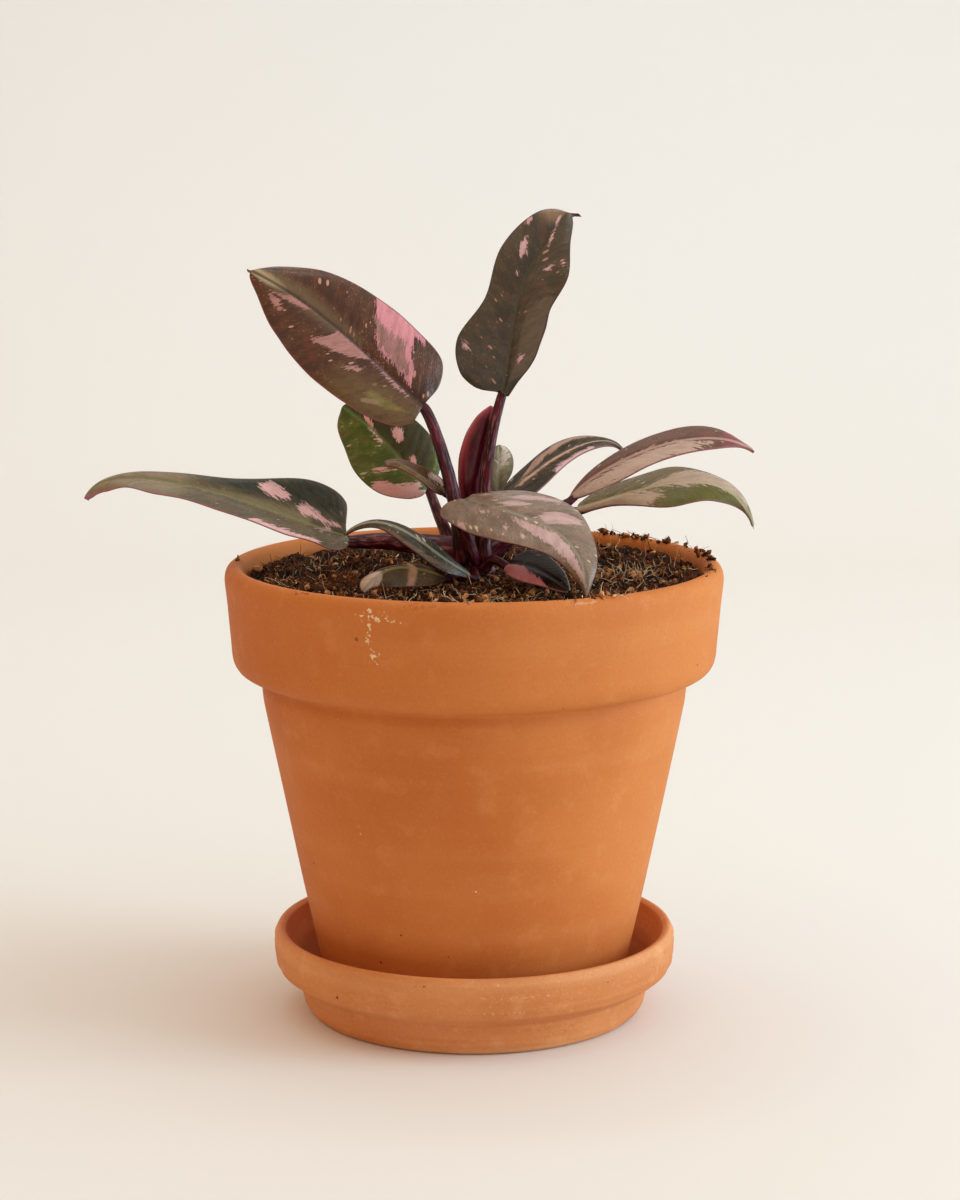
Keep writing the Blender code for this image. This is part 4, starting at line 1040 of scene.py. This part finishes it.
        "ground": ("#644639", "#734D3D", "#824A44", "#826247"), "margins": ("#8A5450", "#A0605C"),
        "rib": ("#C8A498", 0.7), "below": ("#6A3E3C", 0.85), "fleck": "#C0A090", "flecks": 0.6,
        "slant": 2.8, "drip": (0.6, 0, -0.6),
        "patches": [
            ("#C6A997", "#B29181", 0.3, 0.35, [
                [(-5, 0.25), (20, 0.2), (50, 0.1), (62, 0.15), (75, 0.5), (60, 1.1), (-5, 1.1)]]),
            ("#8E4C4F", "#7A3E42", 0.2, 2.5, [[(80, -1.1), (106, -1.1), (106, 1.1), (84, 1.1)]])]},
    "leaf_right_lower": {
        "ground": ("#5E532E", "#6C5D32", "#7A6138", "#847347"), "margins": ("#7A5450", "#8A5A54"),
        "rib": ("#B4AC84", 0.6), "below": ("#6A4A40", 0.85), "fleck": "#B8A890", "flecks": 0.7,
        "slant": 2.4, "drip": (0.3, 0, -1.0),
        "patches": [
            ("#625D27", "#545120", 0.3, 0.35, [[(40, 0.2), (85, 0.2), (85, 1.1), (40, 1.1)]]),
            ("#B59D88", "#A08675", 0.25, 0.35, [
                [(40, 0), (46, -0.35), (50, -0.65), (56, -0.85), (66, -1.05), (90, -1.1), (90, -0.2),
                 (80, 0.05), (68, 0.1), (58, 0.2), (50, 0.1)],
                [(-5, 0.1), (20, 0.05), (35, 0.1), (45, 0.35), (38, 0.8), (30, 1.1), (-5, 1.1)]])]},
    "leaf_small_back": {
        "ground": ("#7C7254", "#8E8462", "#98906C", "#A49A78"), "margins": ("#84705E", "#84705E"),
        "rib": ("#A0A084", 0.5), "below": ("#6A5A48", 0.7), "fleck": "#B0A890", "flecks": 0.5,
        "patches": [
            ("#DCC8BC", "#C2B0A2", 0.3, 0.35, [
                [(45, 0.05), (55, 0.3), (60, 0.6), (85, 0.9), (105, 0.6), (105, 0.05)]])]},
}

# %% Make the blades
BIG_LEAVES = ("leaf_upper_left", "leaf_top", "leaf_long_left", "leaf_round_back", "leaf_front_arched")
ANY_LEAF = {"rough": 0.26, "shine": 0.3, "slant": 0.7, "drip": (0, 0, 0), "taper": 0.0}
BIG_LEAF = {"cells": (150, 72), "quilt": 0.035, "spacing": 3.2, "wave": 0.9, "roll": (1.5, 1.5)}
SMALL_LEAF = {"cells": (84, 40), "quilt": 0.02, "spacing": 2.2, "wave": 0.4, "roll": (0.8, 0.8)}
for seed, (name, leaf) in enumerate(LEAVES.items(), 1):
    look = {**ANY_LEAF, **(BIG_LEAF if name in BIG_LEAVES else SMALL_LEAF), **LOOKS[name]}
    skin = leaf_material("philodendron_skin_" + name[5:], look, seed)
    add_piece(name + "_blade", blade_mesh(name, leaf, look, seed), skin, [name])

# %% [markdown]
# ## Stalks and crown
#
# The stalks rise from the crown, a knot of old leaf bases. Each stalk is round below, a little grooved
# above, and runs on under its blade as the midrib. Its line is a cubic curve from the crown to the
# joint, and rings are set square to it.

# %% Round stems along a line
GROOVE_WIDTH = 0.5


def stem_grid(line, radii, up, sides, groove=0.0, flat=1.0):
    """Rings about a line: the radius shrinks by a groove on the upper side, and flat squeezes the rings."""
    along = unit(np.gradient(line, axis=0))
    above = unit(up - along * (up * along).sum(-1, keepdims=True))
    across = np.cross(along, above)
    angle = np.arange(sides) * 2 * math.pi / sides
    from_top = np.angle(np.exp(1j * (angle - math.pi / 2)))
    dent = 1 - groove * np.exp(-(from_top / GROOVE_WIDTH) ** 2)
    ring_x = (np.cos(angle) * dent)[None] * np.asarray(radii)[:, None]
    ring_y = (np.sin(angle) * dent)[None] * np.asarray(radii)[:, None] * flat
    return line[:, None] + across[:, None] * ring_x[..., None] + above[:, None] * ring_y[..., None]


STALK_RINGS, RUN_RINGS, STALK_SIDES = 60, 24, 24
RUN_END = 0.5


def stalk_grid(leaf, seed):
    """A stalk from the crown to its blade, and on under the midrib, 0.4 mm below it, to half its length."""
    root, handle, root_radius, joint_radius = leaf["stalk"]
    spine, along, out, _ = midrib_frame(leaf, np.array([0.0]))
    end = spine[0] - along[0] * (joint_radius + 0.6) - out[0] * (joint_radius + 0.2)
    before = end - along[0] * 3.0
    s = np.linspace(0, 1, STALK_RINGS)
    line = bezier((root, handle, before, end), s)
    radii = (root_radius + (joint_radius - root_radius) * s ** 0.7) * (1 + 0.3 * np.exp(-(s / 0.18) ** 2))
    run = np.linspace(0.02, RUN_END, RUN_RINGS)
    rib, _, rib_out, _ = midrib_frame(leaf, run)
    rib_radii = np.maximum(joint_radius * (1 - run / RUN_END) ** 0.8, NARROWEST)
    line = np.vstack([line, rib - rib_out * (rib_radii + 0.4)[:, None]])
    radii = np.concatenate([radii, rib_radii])
    up = np.vstack([np.repeat(out, STALK_RINGS, 0), rib_out])
    grid = stem_grid(line, radii, up, STALK_SIDES, 0.16)
    return grid + 0.08 * noise(grid, 3.0, seed)[..., None] * unit(grid - line[:, None])


STREAK_LENGTH = 14.0


def streak_place(grid):
    """For each point of a tube: the cosine and sine of its angle, and how far along it is in 14 mm steps."""
    angle = np.arange(grid.shape[1]) * 2 * math.pi / grid.shape[1]
    middle = grid.mean(1)
    along = np.concatenate([[0], np.cumsum(np.linalg.norm(np.diff(middle, axis=0), axis=1))])
    place = np.stack(np.broadcast_arrays(np.cos(angle), np.sin(angle), along[:, None] / STREAK_LENGTH), -1)
    return np.concatenate([place.reshape(-1, 3), place[[0, -1]].mean(1)])


stalk_points, stalk_faces, stalk_tints, stalk_streaks, start = [], [], [], [], 0
STALK_TINTS = {"leaf_long_left": 0.7, "leaf_round_back": 0.6, "leaf_right_upper": 0.4,
               "leaf_right_lower": 0.3, "leaf_front_arched": 0.5, "leaf_top": 0.45, "leaf_upper_left": 0.3}
for seed, (name, leaf) in enumerate(LEAVES.items()):
    grid = stalk_grid(leaf, 60 + seed)
    points, faces = tube_mesh(grid)
    stalk_points.append(points)
    stalk_faces += [f + start for f in faces]
    stalk_tints.append(np.full(len(points), STALK_TINTS.get(name, 0.15)))
    stalk_streaks.append(streak_place(grid) + np.array([0.0, 0.0, 5.0 * seed]))
    start += len(points)
stalk_mesh = new_mesh("stalks", np.vstack(stalk_points), stalk_faces,
                      {"tint": np.concatenate(stalk_tints), "streak": np.vstack(stalk_streaks)})

CROWN_RINGS, CROWN_SIDES = 60, 48
crown_z = np.linspace(113.0, 154.5, CROWN_RINGS)
crown_line = np.stack([CROWN[0] + 0 * crown_z, CROWN[1] + 0 * crown_z, crown_z], -1)
crown_radii = np.where(crown_z < 145.6, 5.9, 4.7) * (1 - smooth_step(151.0, 154.6, crown_z) * 0.6)
crown_radii = crown_radii * (1 + 0.05 * np.sin(crown_z * 2.4))
crown_up = np.tile([0.0, -1.0, 0.0], (CROWN_RINGS, 1))
crown_grid = stem_grid(crown_line, crown_radii, crown_up, CROWN_SIDES)
crown_out = unit(crown_grid[..., :2] - np.array(CROWN))
crown_grid[..., :2] += 0.5 * noise(crown_grid, 4.0, 91)[..., None] * crown_out
crown_points, crown_faces = tube_mesh(crown_grid)
crown_mesh = new_mesh("crown", crown_points, crown_faces,
                      {"tint": np.full(len(crown_points), 0.35), "streak": streak_place(crown_grid)})


# %% [markdown]
# Young stalks are dark wine red, because a layer of red pigment lies over the green. Their skin is
# smooth and satin, a little shinier than the leaves, and dark, red and paler lines run along it. So
# the pattern reads a number that goes round and along each stalk, stretched lengthwise.

# %% Stalk skin
def stalk_skin(name, dark, red, pale, rough):
    """Glossy young stem: dark and red in streaks along it, paler lines by its tint, and fine ridges."""
    made, tree, shader = new_material(name)
    streak = add_node(tree, "Attribute", output="Vector", attribute_name="streak")
    tint = add_node(tree, "Attribute", output="Fac", attribute_name="tint")
    broad = add_node(tree, "TexNoise", {"Vector": streak, "Scale": 1.1, "Detail": 2.0, "Roughness": 0.6})
    lines = add_node(tree, "TexNoise", {"Vector": streak, "Scale": 3.4, "Detail": 3.0, "Roughness": 0.6})
    shown = add_node(tree, "MapRange", {0: lines, 1: 0.50, 2: 0.66}, **SOFT)
    colour = srgb(dark)
    for share, shade in (
        (add_node(tree, "MapRange", {0: broad, 1: 0.38, 2: 0.64}, **SOFT), red),
        (add_node(tree, "Math", {0: shown, 1: tint}, operation="MULTIPLY"), pale),
        (add_node(tree, "MapRange", {0: lines, 1: 0.42, 2: 0.28, 4: 0.5}, **SOFT), dark),
    ):
        colour = add_node(tree, "Mix", {0: share, 6: colour, 7: srgb(shade)}, 2, data_type="RGBA")
    tree.links.new(colour, shader["Base Color"])
    shader["Roughness"].default_value = rough
    shader["Specular IOR Level"].default_value = 0.25
    bump = add_node(tree, "Bump", {"Height": lines, "Strength": 0.5, "Distance": 0.0003})
    tree.links.new(bump, shader["Normal"])
    return made


wine_stalk = stalk_skin("wine_red_stalk_skin", "#22080E", "#5A1020", "#A8686C", 0.34)
add_piece("stem_stalks", stalk_mesh, wine_stalk, ["stem"])
add_piece("stem_crown", crown_mesh, wine_stalk, ["stem"])

# %% [markdown]
# A papery sheath wraps the next leaf. It is widest just above its middle, closes to a point, and is
# thin. The glow of light through its left edge and its tip is painted pink into its colour.

# %% New leaf sheath
SHEATH_RINGS, SHEATH_SIDES = 90, 64
SHEATH_LINE = ((0, 2, 156), (-4, 2, 173), (0, 3, 190), (6, 3, 197))
SHEATH_RADII = (1.6, 2.6, 4.0, 4.7, 4.3, 3.0, 0.8)
sheath_s = np.linspace(0, 1, SHEATH_RINGS)
sheath_line = bezier(SHEATH_LINE, sheath_s)
sheath_radii = np.interp(sheath_s, np.linspace(0, 1, len(SHEATH_RADII)), SHEATH_RADII)
sheath_bell = np.hanning(13) / np.hanning(13).sum()
sheath_radii = np.convolve(np.pad(sheath_radii, 6, "edge"), sheath_bell, "valid")
sheath_radii[-1] = 0.3
sheath_up = np.tile([0.9, -0.5, 0.0], (SHEATH_RINGS, 1))
sheath_grid = stem_grid(sheath_line, sheath_radii, sheath_up, SHEATH_SIDES, -0.12, 0.88)
sheath_points, sheath_faces = tube_mesh(sheath_grid)
to_left = (sheath_line[:, None, 0] - sheath_grid[..., 0]) / sheath_radii[:, None]
# Share of painted pink glow: it rises towards the left edge of the sheath and at its tip.
sheath_painted_glow = 0.9 * smooth_step(0.2, 0.95, to_left) + 0.7 * smooth_step(0.82, 1.0, sheath_s)[:, None]
sheath_painted_glow = np.clip(np.concatenate([sheath_painted_glow.ravel(), [0.0, 0.7]]), 0, 1)
sheath_fields = {"tint": sheath_painted_glow, "streak": streak_place(sheath_grid)}
sheath_mesh = new_mesh("sheath", sheath_points, sheath_faces, sheath_fields)


def sheath_skin(name, dark, red, pink):
    """Papery sheath: wine red in faint streaks along it, with a painted pink glow by its tint at one edge and
    the tip.
    """
    made, tree, shader = new_material(name)
    streak = add_node(tree, "Attribute", output="Vector", attribute_name="streak")
    tint = add_node(tree, "Attribute", output="Fac", attribute_name="tint")
    lines = add_node(tree, "TexNoise", {"Vector": streak, "Scale": 3.0, "Detail": 3.0, "Roughness": 0.6})
    reddened = add_node(tree, "MapRange", {0: lines, 1: 0.35, 2: 0.7}, **SOFT)
    colour = srgb(dark)
    # The tint mixes in the painted pink glow.
    for share, shade in ((reddened, red), (tint, pink)):
        colour = add_node(tree, "Mix", {0: share, 6: colour, 7: srgb(shade)}, 2, data_type="RGBA")
    tree.links.new(colour, shader["Base Color"])
    shader["Roughness"].default_value = 0.26
    shader["Specular IOR Level"].default_value = 0.35
    bump = add_node(tree, "Bump", {"Height": lines, "Strength": 0.3, "Distance": 0.0002})
    tree.links.new(bump, shader["Normal"])
    return made


# The last colour is the painted pink glow.
sheath_red = sheath_skin("wine_red_sheath_skin", "#3E0C16", "#6A1524", "#BC4A5C")
add_piece("new_leaf_sheath_spindle", sheath_mesh, sheath_red, ["new_leaf_sheath"])

# %% [markdown]
# ## Floor and light
#
# The plant stands on a plain cream sheet of matt paper that curves up behind it. The sheet turns up
# far enough back that a camera behind the plant still stands in front of it.

# %% Cream backdrop
SHEET_FRONT, SHEET_FLAT_TO, SHEET_BEND, SHEET_TOP, SHEET_HALF = -1400.0, 900.0, 500.0, 2600.0, 2200.0


def backdrop():
    """A sheet that lies flat, turns up along a quarter circle and stands upright behind."""
    turn = np.linspace(0, math.pi / 2, 24)
    curve = SHEET_FLAT_TO + SHEET_BEND * np.sin(turn)
    side_y = np.concatenate([[SHEET_FRONT], curve, curve[-1:]])
    side_z = np.concatenate([[0.0], SHEET_BEND - SHEET_BEND * np.cos(turn), [SHEET_TOP]])
    across = np.array([-SHEET_HALF, SHEET_HALF])
    points = np.stack([np.broadcast_to(across, (len(side_y), 2)), np.repeat(side_y[:, None], 2, 1),
                       np.repeat(side_z[:, None], 2, 1)], -1)
    return new_mesh("backdrop", points.reshape(-1, 3), [grid_faces(len(side_y), 2, False)[:, ::-1]])


floor = bpy.data.objects.new("cream_backdrop", backdrop())
bpy.context.scene.collection.objects.link(floor)
paper, _, paper_shader = new_material("cream_paper_sheet")
paper_shader["Base Color"].default_value = srgb("#EBE8E4")
paper_shader["Roughness"].default_value = 0.9
paper_shader["Specular IOR Level"].default_value = 0.1
floor.data.materials.append(paper)

print("sheet of", len(floor.data.polygons), "faces")

# %% [markdown]
# The light comes low and soft from the right: it brightens the right side of the pot, and the shadow
# falls gently to the left. One broad lamp low at the right makes it, a little bluer than the rest, and
# a second lights the sheet behind. The rest is light from all round, which has its own colour from
# each side: cool and bright from the right, warm and weak from the left and the front.

# %% Light
KEY_FROM = np.array([1.35, -0.25, 0.45])
KEY_AT = np.array([0.0, 0.0, 0.12])
WALL_LAMP_AT = np.array([-0.1, 0.4, 1.5])
WALL_AT = np.array([-0.1, 1.4, 0.9])


def soft_lamp(name, place, target, size, power, colour):
    """A round soft lamp at a place, turned to a target: its own z axis points back from the target."""
    lamp = bpy.data.lights.new(name, "AREA")
    lamp.shape, lamp.size, lamp.energy, lamp.color = "DISK", size, power, colour
    lamp_object = bpy.data.objects.new(name, lamp)
    bpy.context.scene.collection.objects.link(lamp_object)
    lamp_object.location = place
    back = unit(place - target)
    side = unit(np.cross((0.0, 0.0, 1.0), back))
    lamp_object.rotation_euler = Matrix(np.stack([side, np.cross(back, side), back], 1).tolist()).to_euler()


soft_lamp("key_lamp", KEY_FROM, KEY_AT, 0.9, 14.6, (0.62, 0.87, 1.0))
soft_lamp("backdrop_lamp", WALL_LAMP_AT, WALL_AT, 0.8, 5.2, (0.72, 0.90, 1.0))

# %% Soft light from all round
world = bpy.data.worlds.new("studio")
bpy.context.scene.world = world
world.use_nodes = True
room = world.node_tree
direction = add_node(room, "TexCoord")
opposite = add_node(room, "VectorMath", {0: direction, 3: -1.0}, operation="SCALE")
walls = []
for way in (direction, opposite):
    facing = add_node(room, "VectorMath", {0: way, 1: (0.0, 0.0, 0.0)}, operation="MAXIMUM")
    walls += list(add_node(room, "SeparateXYZ", {0: facing}).node.outputs)
right_wall, back_wall, ceiling, left_wall, front_wall, _ = walls
room_light = (0.0, 0.0, 0.0)
for share, glow in (
    (right_wall, (0.86, 0.96, 1.03)),
    (back_wall, (0.45, 0.44, 0.41)),
    (ceiling, (0.85, 0.76, 0.65)),
    (left_wall, (0.52, 0.30, 0.08)),
    (front_wall, (0.14, 0.06, 0.04)),
):
    room_light = add_node(room, "VectorMath", {0: share, 1: glow, 2: room_light}, operation="MULTIPLY_ADD")
room.links.new(room_light, room.nodes["Background"].inputs["Color"])
bpy.context.scene.view_settings.view_transform = "Standard"
print("lit from", KEY_FROM)
